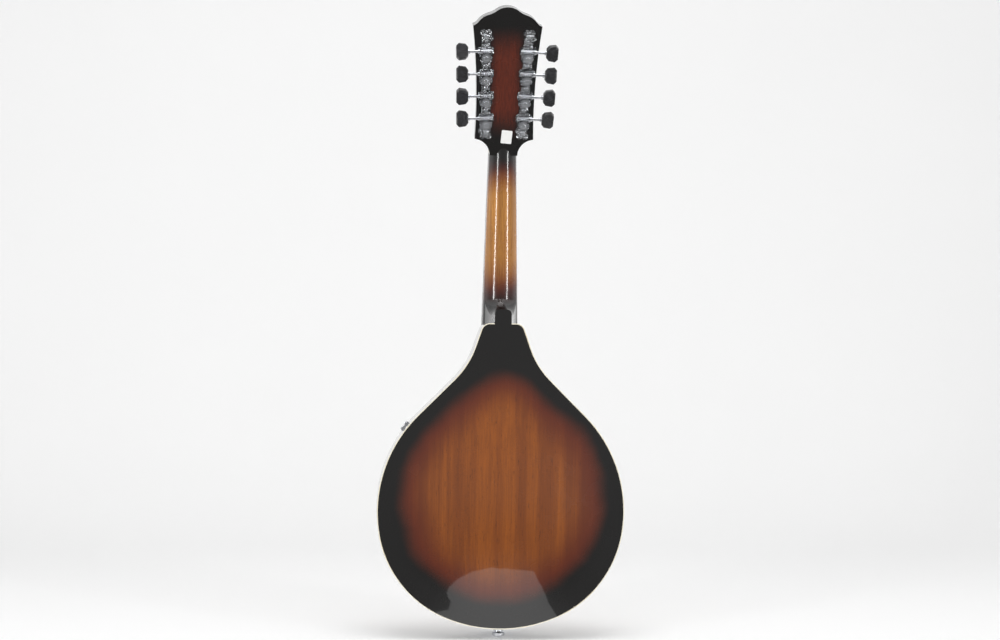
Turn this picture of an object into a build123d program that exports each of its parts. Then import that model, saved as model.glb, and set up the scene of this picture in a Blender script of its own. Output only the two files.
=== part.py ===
from build123d import *
from math import asin, atan2, cos, degrees, pi, radians, sin, sqrt, tan
import os

# A teardrop-bodied mandolin with a carved top and back, two strips of four tuners,
# an adjustable bridge and a stamped tailpiece.
#
# Row frame, in millimetres: +Z runs up the neck, parallel to the body's rim; +Y points to the
# strings and -Y to the back; +X is the bass side. The origin is in the middle of the neck at
# the nut, where a wall hanger's yoke carries the instrument.
# "Depth" is measured from the strings' side towards the back in every working frame below.

# ---------------------------------------------------------------- driving dimensions
# Neck and fretboard
scale_length = 352.0          # nut to saddle
body_joint_fret = 12          # the shoulder lies under this fret
fret_count = 20
neck_pitch = 4.0              # the neck leans back from the body's plane, degrees
head_pitch = 13.0             # the headstock leans back from the neck, degrees
nut_width = 28.6
joint_width = 37.0            # fretboard width at the body joint
fretboard_thickness = 5.5
fretboard_end_run = 4.0       # fretboard left beyond the last fret
neck_depth_nut = 15.5         # wood behind the fretboard
neck_depth_joint = 17.0
neck_side_flat = 2.5          # straight edge of the neck section beside the fretboard
fretboard_rise = 13.0         # fretboard's face above the rim's front edge at the joint

# Body outline: tangent arcs and straights from the tail's middle to the shoulder's middle
tail_radius = 146.2
tail_sweep = 22.95
lower_bout_radius = 113.0
lower_bout_sweep = 57.18
upper_bout_radius = 137.9
upper_bout_sweep = 54.87
flank_length = 52.5
waist_radius = 85.0
waist_sweep = 25.75
neck_side_length = 19.8
shoulder_radius = 9.3

# Body build
rim_depth = 42.0              # front edge to back edge, plates included
plate_thickness = 4.0
rib_thickness = 2.2
binding_width = 1.0
lining_width = 6.0
lining_height = 6.0
top_arch = 13.0
back_arch = 9.0
arch_border = 8.3             # flat border between the rim and the arch
arch_to_shoulder = 55.0       # flat area below the shoulder
neck_block_length = 44.0
tail_block_length = 22.0
tail_block_width = 76.0
button_tab_width = 17.3       # the back's tab that covers the heel
button_tab_length = 14.0
button_tab_corner = 4.5
tenon_width = 18.0
tenon_length = 14.0

# Headstock
head_length = 149.0
head_thickness = 15.0         # veneer included
veneer_thickness = 1.6
head_flare_start = -4.0
head_flare_radius = 17.0
head_flare_sweep = 78.0
head_low_corner = (30.1, 13.2)
head_side_bow = 2.5
crown_arcs = ((19.0, -38.0), (22.0, 22.0), (20.0, -38.0), (10.0, 38.0))
head_edge_round = 4.0

# Tuners
tuner_pitch = 23.0
tuners_per_side = 4
strip_top_x = 21.45           # first worm: out from the headstock's middle line
strip_top_run = 104.4         # first worm: up from the nut's rear edge
strip_tilt = 1.72             # the two strips converge towards the nut, degrees
tuner_plate_thickness = 1.0
plate_worm_width = 16.0
plate_gear_radius = 6.6
plate_spine_width = 9.0
plate_screw_pad = 3.7
end_screw_run = 15.0          # first screw above the first worm, and each screw below its worm
gear_teeth = 14
gear_pitch_radius = 4.7
gear_tip_radius = 5.2
gear_root_radius = 4.15
gear_width = 4.0
mesh_distance = 6.9           # worm axis to gear axis
mesh_play = 0.27              # taken off each tooth's and thread's width at the pitch line
worm_root_radius = 1.55
worm_tip_radius = 2.6
worm_length = 9.6
shaft_radius = 1.5
shaft_clearance = 0.03
post_radius = 3.0
post_clearance = 0.05
post_waist_radius = 2.5
post_height = 9.5             # post above the veneer
string_post_height = 4.6      # string above the veneer at its post
worm_height = 3.9             # worm axis above the headstock's rear face
lug_thickness = 1.0
lug_width = 6.4
lug_gap = 0.3
button_reach = 18.2           # strip's middle to the button's near side
button_length = 12.2
button_height = 17.5
button_thickness = 6.6
button_turns = {1: (12, -8, 5, 18), -1: (30, 6, -12, 8)}

# Bushings and screws
bushing_radius = 4.2
bushing_flange_radius = 5.2
bushing_flange = 1.2
bushing_length = 8.0
screw_head_radius = 2.1
screw_head_height = 1.3
screw_radius = 1.1
screw_length = 9.0
screw_slot = 0.5

# Nut, strings and bridge
nut_thickness = 5.0
nut_contact = 0.6             # string's break point behind the nut's front edge
nut_rear_slope = 20.0
string_height_nut = 7.0       # string centre above the neck's glue face
string_height_saddle = 9.9
string_groove = 0.03          # clearance round a string in its groove
string_bend_radius = 4.0
course_at_nut = (10.6, 3.6, -3.6, -10.6)
course_at_saddle = (17.4, 5.8, -5.8, -17.4)
pair_at_nut = 2.0
pair_at_saddle = 3.0
string_diameters = (0.97, 0.61, 0.356, 0.254)
bridge_length = 110.0
bridge_width = 11.0
bridge_base_height = 5.0
bridge_relief = 2.5
saddle_length = 100.0
saddle_top_length = 48.0
saddle_end_height = 3.5
saddle_width = 8.0
saddle_travel = 1.4
stud_spacing = 72.0
stud_radius = 1.5
stud_depth = 3.5
stud_in_saddle = 3.0
wheel_radius = 6.0
wheel_thickness = 2.0
wheel_gap = 0.5               # left below the wheel with the saddle fully lowered
wheel_notches = 20

# Tailpiece and strap button
tailpiece_length = 82.0
tailpiece_width = 36.0
tailpiece_sheet = 1.0
tailpiece_height = 10.2       # sheet above the rim's front edge
tailpiece_leg = 30.0          # leg's reach down the tail
hook_run = 29.0               # hooks up from the tail
hook_spacing = 4.0
hook_radius = 0.8
hook_height = 3.2
cover_sheet = 0.8
cover_gap = 0.3
cover_side = 12.0
cover_height = 14.5
strap_depth = 23.0
strap_head_radius = 6.5
strap_head_length = 3.0
strap_waist_radius = 3.8
strap_reach = 8.6
strap_shank_radius = 3.0
strap_shank_length = 14.0

# Pickguard
pickguard_thickness = 1.6
pickguard_height = 14.5       # underside above the rim's front edge
bracket_sheet = 1.2
bracket_width = 11.0
bracket_leg = 9.0
bracket_place = 0.87          # along the upper bout's arc

# Truss rod
rod_radius = 2.5
rod_depth = 7.0               # rod's axis below the glue face
rod_end_run = 14.0            # rod's end beyond the nut's front edge
rod_pocket_room = 8.0         # open pocket beyond the rod's end, for a key
rod_nut_radius = 3.9
rod_nut_length = 8.0
rod_pocket = (11.0, 17.0)     # width and length of the pocket
rod_pocket_gap = 0.6          # below the nut
rod_cover = (22.0, 34.0, 1.6)

bass = 1
treble = -1


# ---------------------------------------------------------------- working frames
def leaning_frame(y, z, lean):
    """Plane across the instrument: local x across, y up, z (depth) to the back, leaning back."""
    return Plane(origin=(0, y, z), x_dir=(1, 0, 0),
                 z_dir=(0, -cos(radians(lean)), -sin(radians(lean))))


glue_y = (fretboard_thickness + neck_depth_nut) / 2 - fretboard_thickness
neck_frame = leaning_frame(glue_y, 0, neck_pitch)
head_start = neck_frame.from_local_coords((0, nut_thickness, 0))
head_frame = leaning_frame(head_start.Y, head_start.Z, neck_pitch + head_pitch)
neck_up = neck_frame.y_dir


def fret_run(number):
    """Distance from the nut down to a fret."""
    return scale_length * (1 - 2 ** (-number / 12))


joint_run = fret_run(body_joint_fret)
joint_point = neck_frame.from_local_coords((0, -joint_run, 0))
shoulder_z = joint_point.Z
rim_front_y = joint_point.Y + fretboard_thickness * cos(radians(neck_pitch)) - fretboard_rise


def body_level(depth):
    """Plane parallel to the rim at a depth behind the rim's front edge: local x across, y up."""
    return Plane(origin=(0, rim_front_y - depth, 0), x_dir=(1, 0, 0), z_dir=(0, -1, 0))


def draw_body_half(inset, start_z):
    """Right half of the outline, moved inwards by inset. Gives the upper bout's arc too."""
    tail = JernArc((0, start_z + inset), (1, 0), tail_radius - inset, tail_sweep)
    lower = JernArc(tail @ 1, tail % 1, lower_bout_radius - inset, lower_bout_sweep)
    upper = JernArc(lower @ 1, lower % 1, upper_bout_radius - inset, upper_bout_sweep)
    flank = Line(upper @ 1, upper @ 1 + flank_length * (upper % 1))
    waist = JernArc(flank @ 1, flank % 1, waist_radius + inset, -waist_sweep)
    side = Line(waist @ 1, waist @ 1 + neck_side_length * (waist % 1))
    turned = tail_sweep + lower_bout_sweep + upper_bout_sweep - waist_sweep
    shoulder = JernArc(side @ 1, side % 1, shoulder_radius - inset, 180 - turned)
    Line(shoulder @ 1, (0, (shoulder @ 1).Y))
    return upper


with BuildLine() as outline:
    upper_bout = draw_body_half(0, 0)
body_length = outline.line.bounding_box().max.Y
body_half_width = outline.line.bounding_box().max.X
tail_z = shoulder_z - body_length
bracket_point = upper_bout @ bracket_place
bracket_heading = upper_bout % bracket_place


def draw_body(inset, mode=Mode.ADD):
    """Closed body outline, moved inwards by inset, in the sketch being drawn."""
    with BuildLine() as edge:
        draw_body_half(inset, tail_z)
        mirror(about=Plane.YZ)
    make_face(edge.edges(), mode=mode)


def draw_box(low, high, mode=Mode.ADD):
    """Rectangle between two corners, in the sketch being drawn."""
    with Locations(((low[0] + high[0]) / 2, (low[1] + high[1]) / 2)):
        Rectangle(high[0] - low[0], high[1] - low[1], mode=mode)


def body_layer(inset, front, back, mode=Mode.ADD):
    """Slab of the body outline between two depths, in the part being built."""
    with BuildSketch(body_level(front)) as layer:
        draw_body(inset)
    extrude(layer.sketch, amount=back - front, mode=mode)


# ---------------------------------------------------------------- carved plates' surfaces
arch_half_width = body_half_width - arch_border
arch_half_length = (body_length - arch_to_shoulder - arch_border) / 2
arch_centre_z = tail_z + arch_border + arch_half_length
carving_play = 0.05           # the plates' waviness stays clear of the rim
surface_margin = 4.0
cut_margin = 2.0              # blanks stand this far clear of the surfaces that trim them
tool_depth = 60.0


def arch_share(x, z):
    """Height of the arch as a share of its rise: 1 at its middle, 0 from its rim outwards."""
    out = (x / arch_half_width) ** 2 + ((z - arch_centre_z) / arch_half_length) ** 2
    return (1 - out) ** 2 if out < 1 else 0.0


def arched_face(depth, rise):
    """Face over the whole body at a depth, carved out by a rise (negative to the front)."""
    columns = 24
    rows = 30
    low_z = tail_z - surface_margin
    high_z = shoulder_z + button_tab_length + surface_margin
    reach = body_half_width + surface_margin
    grid = []
    for column in range(columns + 1):
        x = reach * (2 * column / columns - 1)
        line = []
        for row in range(rows + 1):
            z = low_z + (high_z - low_z) * row / rows
            line.append(Vector(x, rim_front_y - depth - rise * arch_share(x, z), z))
        grid.append(line)
    return Face.make_surface_from_array_of_points(grid, tol=0.02)


to_back = Vector(0, -1, 0)
top_face = arched_face(-carving_play, -top_arch)
back_face = arched_face(rim_depth - plate_thickness + carving_play, back_arch)
top_slab = Solid.extrude(top_face, to_back * plate_thickness)
back_slab = Solid.extrude(back_face, to_back * plate_thickness)
below_top = Solid.extrude(top_face, to_back * tool_depth)

os.makedirs("parts", exist_ok=True)


def save(piece, label):
    piece.label = label
    export_step(piece, f"parts/{label}.step")


# ---------------------------------------------------------------- soundboard
f_hole_width = 5.0
f_hole_upper = (36.0, 28.0)   # upper eye: across, and up from the bridge
f_hole_hook = 6.5
f_hole_foot = 8.0
f_hole_sweep = 165.0
f_hole_stem = 62.0
f_eye_upper = 4.2
f_eye_lower = 5.6
f_notch = (9.0, 1.6)

bridge_point = neck_frame.from_local_coords((0, -scale_length, -string_height_saddle))
bridge_z = bridge_point.Z


def draw_f_holes():
    """Both f-shaped sound holes, in the sketch being drawn."""
    with BuildLine() as stem:
        hook = JernArc((f_hole_upper[0], bridge_z + f_hole_upper[1]), (0, 1), f_hole_hook,
                       -f_hole_sweep)
        run = Line(hook @ 1, hook @ 1 + f_hole_stem * (hook % 1))
        foot = JernArc(run @ 1, run % 1, f_hole_foot, f_hole_sweep)
    trace(stem.line, line_width=f_hole_width)
    with Locations(hook @ 0):
        Circle(f_eye_upper)
    with Locations(foot @ 1):
        Circle(f_eye_lower)
    with Locations(run @ 0.5):
        Rectangle(*f_notch)
    mirror(about=Plane.YZ)


with BuildPart() as soundboard:
    body_layer(binding_width, -top_arch - cut_margin, plate_thickness + cut_margin)
    add(top_slab, mode=Mode.INTERSECT)
    with BuildSketch(body_level(-top_arch - cut_margin)):
        draw_f_holes()
    extrude(amount=top_arch + plate_thickness + 2 * cut_margin, mode=Mode.SUBTRACT)
save(soundboard.part, "soundboard")


# ---------------------------------------------------------------- two-piece back
def draw_button_tab(mode=Mode.ADD):
    """The back's tab over the heel, in the sketch being drawn."""
    half = button_tab_width / 2
    top = shoulder_z + button_tab_length
    low = shoulder_z - shoulder_radius
    with BuildLine() as edge:
        Line((-half, low), (half, low))
        Line((half, low), (half, top - button_tab_corner))
        JernArc((half, top - button_tab_corner), (0, 1), button_tab_corner, 90)
        Line((half - button_tab_corner, top), (button_tab_corner - half, top))
        JernArc((button_tab_corner - half, top), (-1, 0), button_tab_corner, 90)
        Line((-half, top - button_tab_corner), (-half, low))
    make_face(edge.edges(), mode=mode)


def back_half(side):
    """One bookmatched half of the back, joined to the other along the middle."""
    with BuildPart() as half:
        with BuildSketch(body_level(rim_depth - plate_thickness - cut_margin)):
            draw_body(binding_width)
            draw_button_tab()
            edge = body_half_width + surface_margin
            low = tail_z - surface_margin
            high = shoulder_z + button_tab_length + surface_margin
            draw_box((min(0, side * edge), low), (max(0, side * edge), high), Mode.INTERSECT)
        extrude(amount=plate_thickness + back_arch + 2 * cut_margin)
        add(back_slab, mode=Mode.INTERSECT)
    return half.part


save(back_half(bass), "back_bass")
save(back_half(treble), "back_treble")

# ---------------------------------------------------------------- rim
ribs_front = plate_thickness
ribs_back = rim_depth - plate_thickness
rib_height = ribs_back - ribs_front


def cut_tenon():
    """Room for the neck's tenon, cut from the part being built."""
    with BuildSketch(body_level(ribs_front)) as tenon:
        draw_box((-tenon_width / 2, shoulder_z - tenon_length),
                 (tenon_width / 2, shoulder_z + 1))
    extrude(tenon.sketch, amount=rib_height, mode=Mode.SUBTRACT)


def cut_cylinder(plane, radius, near, far, mode=Mode.SUBTRACT):
    """Round hole (or pin) along a plane's normal between two heights over the plane."""
    with BuildSketch(plane.offset(near)) as disc:
        Circle(radius)
    extrude(disc.sketch, amount=far - near, mode=mode)


tail_plane = Plane(origin=(0, rim_front_y - strap_depth, tail_z), x_dir=(1, 0, 0),
                   z_dir=(0, 0, -1))
tail_screws = ((-10.0, 13.0), (10.0, 13.0), (0.0, 8.0))   # across and depth on the tail


def tail_screw_plane(place):
    """Plane on the rim's outer face at the tail, facing out, for a screw."""
    across, depth = place
    lean = asin(across / tail_radius)
    drop = tail_radius * (1 - cos(lean))
    return Plane(origin=(across, rim_front_y - depth, tail_z + drop), x_dir=(0, 1, 0),
                 z_dir=(sin(lean), 0, -cos(lean)))


def bracket_frame():
    """Frame on the treble rim at the bracket: x along the rim, y to the back, z outwards."""
    spot = Vector(-bracket_point.X, rim_front_y, tail_z + bracket_point.Y)
    along = Vector(-bracket_heading.X, 0, bracket_heading.Y).normalized()
    outwards = Vector(-along.Z, 0, along.X)
    return Plane(origin=spot, x_dir=along, z_dir=outwards)


bracket_plane = bracket_frame()
bracket_screws = (-bracket_width / 2 + 2.4, bracket_width / 2 - 2.4)
bracket_screw_depth = 6.5


def bracket_screw_plane(along):
    spot = bracket_plane.from_local_coords((along, -bracket_screw_depth, 0))
    return Plane(origin=spot, x_dir=bracket_plane.x_dir, z_dir=bracket_plane.z_dir)


def cut_rim_screws(mode=Mode.SUBTRACT):
    """Pilot holes of the screws that go into the rim."""
    for place in tail_screws:
        cut_cylinder(tail_screw_plane(place), screw_radius, -screw_length, 1, mode)
    for along in bracket_screws:
        cut_cylinder(bracket_screw_plane(along), screw_radius, -screw_length, 1, mode)


with BuildPart() as ribs:
    body_layer(0, ribs_front, ribs_back)
    body_layer(rib_thickness, ribs_front, ribs_back, Mode.SUBTRACT)
    cut_tenon()
    cut_cylinder(tail_plane, strap_shank_radius, -strap_shank_length, 1)
    cut_rim_screws()
    split(bisect_by=Plane.YZ, keep=Keep.BOTH)
save(ribs.part, "ribs")


def ring(outer, inner, front, back):
    """Band that follows the body outline between two insets and two depths."""
    with BuildPart() as band:
        body_layer(outer, front, back)
        body_layer(inner, front, back, Mode.SUBTRACT)
    return band.part


save(ring(0, binding_width, 0, plate_thickness), "top_binding")

with BuildPart() as back_binding:
    add(ring(0, binding_width, ribs_back, rim_depth))
    with BuildSketch(body_level(ribs_back)):
        draw_button_tab()
    extrude(amount=plate_thickness, mode=Mode.SUBTRACT)
save(back_binding.part, "back_binding")


def draw_neck_block(mode=Mode.ADD):
    reach = body_half_width
    with BuildSketch(mode=Mode.PRIVATE) as end:
        draw_body(rib_thickness)
        draw_box((-reach, shoulder_z - neck_block_length), (reach, shoulder_z), Mode.INTERSECT)
    add(end.sketch, mode=mode)


def draw_tail_block(mode=Mode.ADD):
    reach = tail_block_width / 2
    with BuildSketch(mode=Mode.PRIVATE) as end:
        draw_body(rib_thickness)
        draw_box((-reach, tail_z), (reach, tail_z + tail_block_length), Mode.INTERSECT)
    add(end.sketch, mode=mode)


with BuildPart() as neck_block:
    with BuildSketch(body_level(ribs_front)):
        draw_neck_block()
    extrude(amount=rib_height)
    cut_tenon()
save(neck_block.part, "neck_block")

with BuildPart() as tail_block:
    with BuildSketch(body_level(ribs_front)):
        draw_tail_block()
    extrude(amount=rib_height)
    cut_cylinder(tail_plane, strap_shank_radius, -strap_shank_length, 1)
    cut_rim_screws()
save(tail_block.part, "tail_block")

with BuildPart() as linings:
    for front in (ribs_front, ribs_back - lining_height):
        with BuildSketch(body_level(front)):
            draw_body(rib_thickness)
            draw_body(rib_thickness + lining_width, Mode.SUBTRACT)
            draw_neck_block(Mode.SUBTRACT)
            draw_tail_block(Mode.SUBTRACT)
        extrude(amount=lining_height)
    cut_rim_screws()
save(linings.part, "linings")

tone_bar = (180.0, 6.0, 9.0)  # length, width, depth under the top
tone_bar_x = 21.0
tone_bar_turn = 3.0

under_top = Solid.extrude(top_face.moved(Location(to_back * plate_thickness)),
                          to_back * tone_bar[2])

with BuildPart() as tone_bars:
    with BuildSketch(body_level(-top_arch)):
        for side in (bass, treble):
            with Locations(Location((side * tone_bar_x, bridge_z, 0), (0, 0, -side * tone_bar_turn))):
                Rectangle(tone_bar[1], tone_bar[0])
    extrude(amount=top_arch + rib_height)
    add(under_top, mode=Mode.INTERSECT)
save(tone_bars.part, "tone_bars")


# ---------------------------------------------------------------- neck and headstock
def board_half_width(run):
    """Half the fretboard's width at a distance down from the nut."""
    return (nut_width + (joint_width - nut_width) * run / joint_run) / 2


def neck_section(run, depth):
    """Face of the neck's D-shaped section at a distance down from the nut."""
    half = board_half_width(run)
    plane = Plane(origin=neck_frame.from_local_coords((0, -run, 0)), x_dir=(1, 0, 0),
                  z_dir=neck_up)
    with BuildSketch(plane) as section:
        with BuildLine():
            Line((-half, 0), (half, 0))
            Line((half, 0), (half, -neck_side_flat))
            EllipticalCenterArc((0, -neck_side_flat), half, depth - neck_side_flat,
                                start_angle=180, arc_size=180)
            Line((-half, -neck_side_flat), (-half, 0))
        make_face()
    return section.sketch


def heel_section(depth, width, length, corner):
    """Section of the heel parallel to the rim: straight at the shoulder, round at the top."""
    low = shoulder_z - shoulder_radius
    with BuildSketch(body_level(depth)) as section:
        with BuildLine():
            Line((-width / 2, low), (width / 2, low))
            Line((width / 2, low), (width / 2, shoulder_z + length - corner))
            ThreePointArc((width / 2, shoulder_z + length - corner), (0, shoulder_z + length),
                          (-width / 2, shoulder_z + length - corner))
            Line((-width / 2, shoulder_z + length - corner), (-width / 2, low))
        make_face()
    return section.sketch


def draw_head_half():
    """Right half of the headstock: flare, long side and stepped crown."""
    flare = JernArc((nut_width / 2, head_flare_start), (0, 1), head_flare_radius,
                    -head_flare_sweep)
    Line(flare @ 1, head_low_corner)
    spot = Vector(0, head_length)
    heading = Vector(1, 0)
    for radius, sweep in crown_arcs:
        arc = JernArc(spot, heading, radius, sweep)
        spot = arc @ 1
        heading = arc % 1
    middle = (spot + Vector(*head_low_corner)) * 0.5 - Vector(head_side_bow, 0)
    ThreePointArc(head_low_corner, middle, spot)
    Line((0, head_flare_start), (nut_width / 2, head_flare_start))


def draw_head(mode=Mode.ADD):
    with BuildLine() as edge:
        draw_head_half()
        mirror(about=Plane.YZ)
    make_face(edge.edges(), mode=mode)


def strip_frame(side):
    """Frame of a tuner strip on the headstock's rear face: origin at its top worm, x outwards,
    z to the back. Local y is up on the bass side and down on the treble side."""
    tilt = radians(strip_tilt)
    spot = head_frame.from_local_coords((side * strip_top_x, strip_top_run, head_thickness))
    out = head_frame.x_dir * (side * cos(tilt)) - head_frame.y_dir * sin(tilt)
    return Plane(origin=spot, x_dir=out, z_dir=head_frame.z_dir)


strips = {side: strip_frame(side) for side in (bass, treble)}
worm_runs = [tuner_pitch * index for index in range(tuners_per_side)]
screw_runs = [-end_screw_run] + [run + end_screw_run for run in worm_runs]


def on_strip(side, run, height=0.0, across=0.0):
    """Plane on a strip, a distance down from its top worm and over the rear face."""
    strip = strips[side]
    spot = strip.from_local_coords((across, -side * run, height))
    return Plane(origin=spot, x_dir=strip.x_dir, z_dir=strip.z_dir)


def cut_post_holes(radius):
    for side in (bass, treble):
        for run in worm_runs:
            cut_cylinder(on_strip(side, run + mesh_distance), radius, -head_thickness - 1, 1)


def cut_tuner_screws():
    for side in (bass, treble):
        for run in screw_runs:
            cut_cylinder(on_strip(side, run), screw_radius, -screw_length, 1)


def cut_cover_screws(mode=Mode.SUBTRACT):
    for plane in cover_screw_planes:
        cut_cylinder(plane, screw_radius, -screw_length, 1, mode)


cover_low_run = 3.0
cover_screw_planes = [
    Plane(origin=head_frame.from_local_coords((across, cover_low_run + rod_cover[1] - 5.0,
                                               -rod_cover[2])),
          x_dir=(1, 0, 0), z_dir=-head_frame.z_dir)
    for across in (-5.5, 5.5)]

fretboard_end = fret_run(fret_count) + fretboard_end_run
rod_start = neck_frame.from_local_coords((0, 0, rod_depth))
rod_plane = Plane(origin=rod_start, x_dir=(1, 0, 0), z_dir=neck_up)
rod_tail_run = joint_run - 12.0


def cut_rod_pocket():
    """Pocket in the headstock's face, round the truss rod's nut."""
    with BuildSketch(rod_plane.offset(nut_thickness + 2.0)) as mouth:
        draw_box((-rod_pocket[0] / 2, -rod_nut_radius - rod_pocket_gap),
                 (rod_pocket[0] / 2, rod_depth + nut_thickness))
    extrude(mouth.sketch, amount=rod_pocket[1], mode=Mode.SUBTRACT)


with BuildPart() as neck_extension:
    # Carries the fretboard over the soundboard and follows its arch.
    with BuildSketch(neck_frame):
        draw_box((-board_half_width(0), -fretboard_end + fretboard_end_run),
                 (board_half_width(0), -joint_run - shoulder_radius / 2))
    extrude(amount=fretboard_rise)
    add(below_top, mode=Mode.SUBTRACT)

with BuildPart() as neck:
    add(neck_section(-nut_thickness, neck_depth_nut))
    add(neck_section(0, neck_depth_nut))
    loft()
    add(neck_section(0, neck_depth_nut))
    add(neck_section(joint_run + shoulder_radius, neck_depth_joint))
    loft()
    heel_front = neck_depth_joint - fretboard_rise + fretboard_thickness - 5.0
    add(heel_section(heel_front, joint_width - 5.0, 34.0, 14.0))
    add(heel_section(heel_front + 13.0, 25.0, 19.0, 9.0))
    add(heel_section(ribs_back, button_tab_width, button_tab_length, 5.0))
    loft()
    with BuildSketch(head_frame.offset(veneer_thickness)):
        draw_head()
    extrude(amount=head_thickness - veneer_thickness)
    body_layer(0, -2 * carving_play, rim_depth, Mode.SUBTRACT)
    with BuildSketch(body_level(ribs_front)):
        draw_box((-tenon_width / 2, shoulder_z - tenon_length), (tenon_width / 2, shoulder_z + 1))
    extrude(amount=rib_height)
    add(neck_extension.part)
    with BuildSketch(neck_frame):
        draw_box((-nut_width, -1.0), (nut_width, nut_thickness))
    extrude(amount=-nut_width, mode=Mode.SUBTRACT)
    with BuildSketch(head_frame):
        draw_box((-head_length, 0), (head_length, head_length))
    extrude(amount=veneer_thickness, mode=Mode.SUBTRACT)
    cut_post_holes(bushing_radius)
    cut_tuner_screws()
    cut_cover_screws()
    cut_rod_pocket()
    cut_cylinder(rod_plane, rod_radius, -rod_tail_run, rod_end_run + rod_pocket_room)
save(neck.part, "neck")

with BuildPart() as headstock_veneer:
    with BuildSketch(head_frame):
        draw_head()
        draw_box((-head_length, 0), (head_length, 2 * head_length), Mode.INTERSECT)
    extrude(amount=veneer_thickness)
    cut_post_holes(bushing_radius)
    cut_cover_screws()
    cut_rod_pocket()
save(headstock_veneer.part, "headstock_veneer")

with BuildPart() as truss_rod:
    cut_cylinder(rod_plane, rod_radius, -rod_tail_run, rod_end_run, Mode.ADD)
save(truss_rod.part, "truss_rod")

with BuildPart() as truss_rod_nut:
    with BuildSketch(rod_plane.offset(rod_end_run - rod_nut_length + 1.0)):
        RegularPolygon(rod_nut_radius, 6)
    extrude(amount=rod_nut_length)
    cut_cylinder(rod_plane, rod_radius + post_clearance, 0, rod_end_run + rod_pocket_room)
save(truss_rod_nut.part, "truss_rod_nut")

with BuildPart() as truss_rod_cover:
    with BuildSketch(head_frame):
        with BuildLine():
            half = rod_cover[0] / 2
            low = cover_low_run
            high = cover_low_run + rod_cover[1]
            Line((-half, low), (half, low))
            flank = Line((half, low), (half - 2.0, low + rod_cover[1] * 0.6))
            RadiusArc(flank @ 1, (0, high), 16.0)
            mirror(flank, about=Plane.YZ)
            RadiusArc((0, high), (2.0 - half, low + rod_cover[1] * 0.6), 16.0)
        make_face()
    extrude(amount=-rod_cover[2])
    cut_cover_screws()
save(truss_rod_cover.part, "truss_rod_cover")


# ---------------------------------------------------------------- fretboard, frets and nut
fret_slot = (0.5, 1.6)        # width and depth
fret_crown = (1.3, 0.45, 1.0)  # width, side height and crown height
fret_end_gap = 0.25
dot_radius = 2.4
dot_depth = 0.8
dots = ((5, 0), (7, 0), (10, 0), (12, -6.5), (12, 6.5), (15, 0))


def fret_plane(number):
    """Plane across a fret: local x up the neck, y (depth) from the fretboard's face."""
    spot = neck_frame.from_local_coords((0, -fret_run(number), -fretboard_thickness))
    return Plane(origin=spot, x_dir=neck_up, z_dir=(1, 0, 0))


def cut_fret_slots():
    for number in range(1, fret_count + 1):
        with BuildSketch(fret_plane(number)) as slot:
            draw_box((-fret_slot[0] / 2, 0), (fret_slot[0] / 2, fret_slot[1]))
        extrude(slot.sketch, amount=joint_width, both=True, mode=Mode.SUBTRACT)


def dot_plane(number, across):
    run = (fret_run(number - 1) + fret_run(number)) / 2
    spot = neck_frame.from_local_coords((across, -run, -fretboard_thickness))
    return Plane(origin=spot, x_dir=(1, 0, 0), z_dir=neck_frame.z_dir)


with BuildPart() as fretboard:
    with BuildSketch(neck_frame):
        end = board_half_width(fretboard_end)
        with BuildLine():
            Line((-nut_width / 2, 0), (nut_width / 2, 0))
            Line((nut_width / 2, 0), (end, -fretboard_end))
            ThreePointArc((end, -fretboard_end), (0, -fretboard_end - fretboard_end_run),
                          (-end, -fretboard_end))
            Line((-end, -fretboard_end), (-nut_width / 2, 0))
        make_face()
    extrude(amount=-fretboard_thickness)
    cut_fret_slots()
    for number, across in dots:
        cut_cylinder(dot_plane(number, across), dot_radius, 0, dot_depth)
save(fretboard.part, "fretboard")

with BuildPart() as frets:
    for number in range(1, fret_count + 1):
        crown = fret_crown[0] / 2
        slot = fret_slot[0] / 2
        with BuildSketch(fret_plane(number)):
            with BuildLine():
                Line((-crown, 0), (-crown, -fret_crown[1]))
                ThreePointArc((-crown, -fret_crown[1]), (0, -fret_crown[2]),
                              (crown, -fret_crown[1]))
                Line((crown, -fret_crown[1]), (crown, 0))
                Line((crown, 0), (slot, 0))
                Line((slot, 0), (slot, fret_slot[1]))
                Line((slot, fret_slot[1]), (-slot, fret_slot[1]))
                Line((-slot, fret_slot[1]), (-slot, 0))
                Line((-slot, 0), (-crown, 0))
            make_face()
        extrude(amount=board_half_width(fret_run(number)) - fret_end_gap, both=True)
save(frets.part, "frets")

with BuildPart() as fret_markers:
    for number, across in dots:
        cut_cylinder(dot_plane(number, across), dot_radius, 0, dot_depth, Mode.ADD)
save(fret_markers.part, "fret_markers")


# ---------------------------------------------------------------- strings
# Eight strings in four pairs, from the bass side to the treble side. The outer string of each
# side goes to the tuner nearest the nut, the next one to the tuner above it, and so on.
string_count = 8
string_end_gap = 0.05


def string_radius(index):
    return string_diameters[index // 2] / 2


def pair_offset(index, spacing):
    return spacing / 2 if index % 2 == 0 else -spacing / 2


def string_post(index):
    """The side and the tuner, counted from the top, that a string is wound on."""
    if index < tuners_per_side:
        return bass, tuners_per_side - 1 - index
    return treble, index - tuners_per_side


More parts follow.
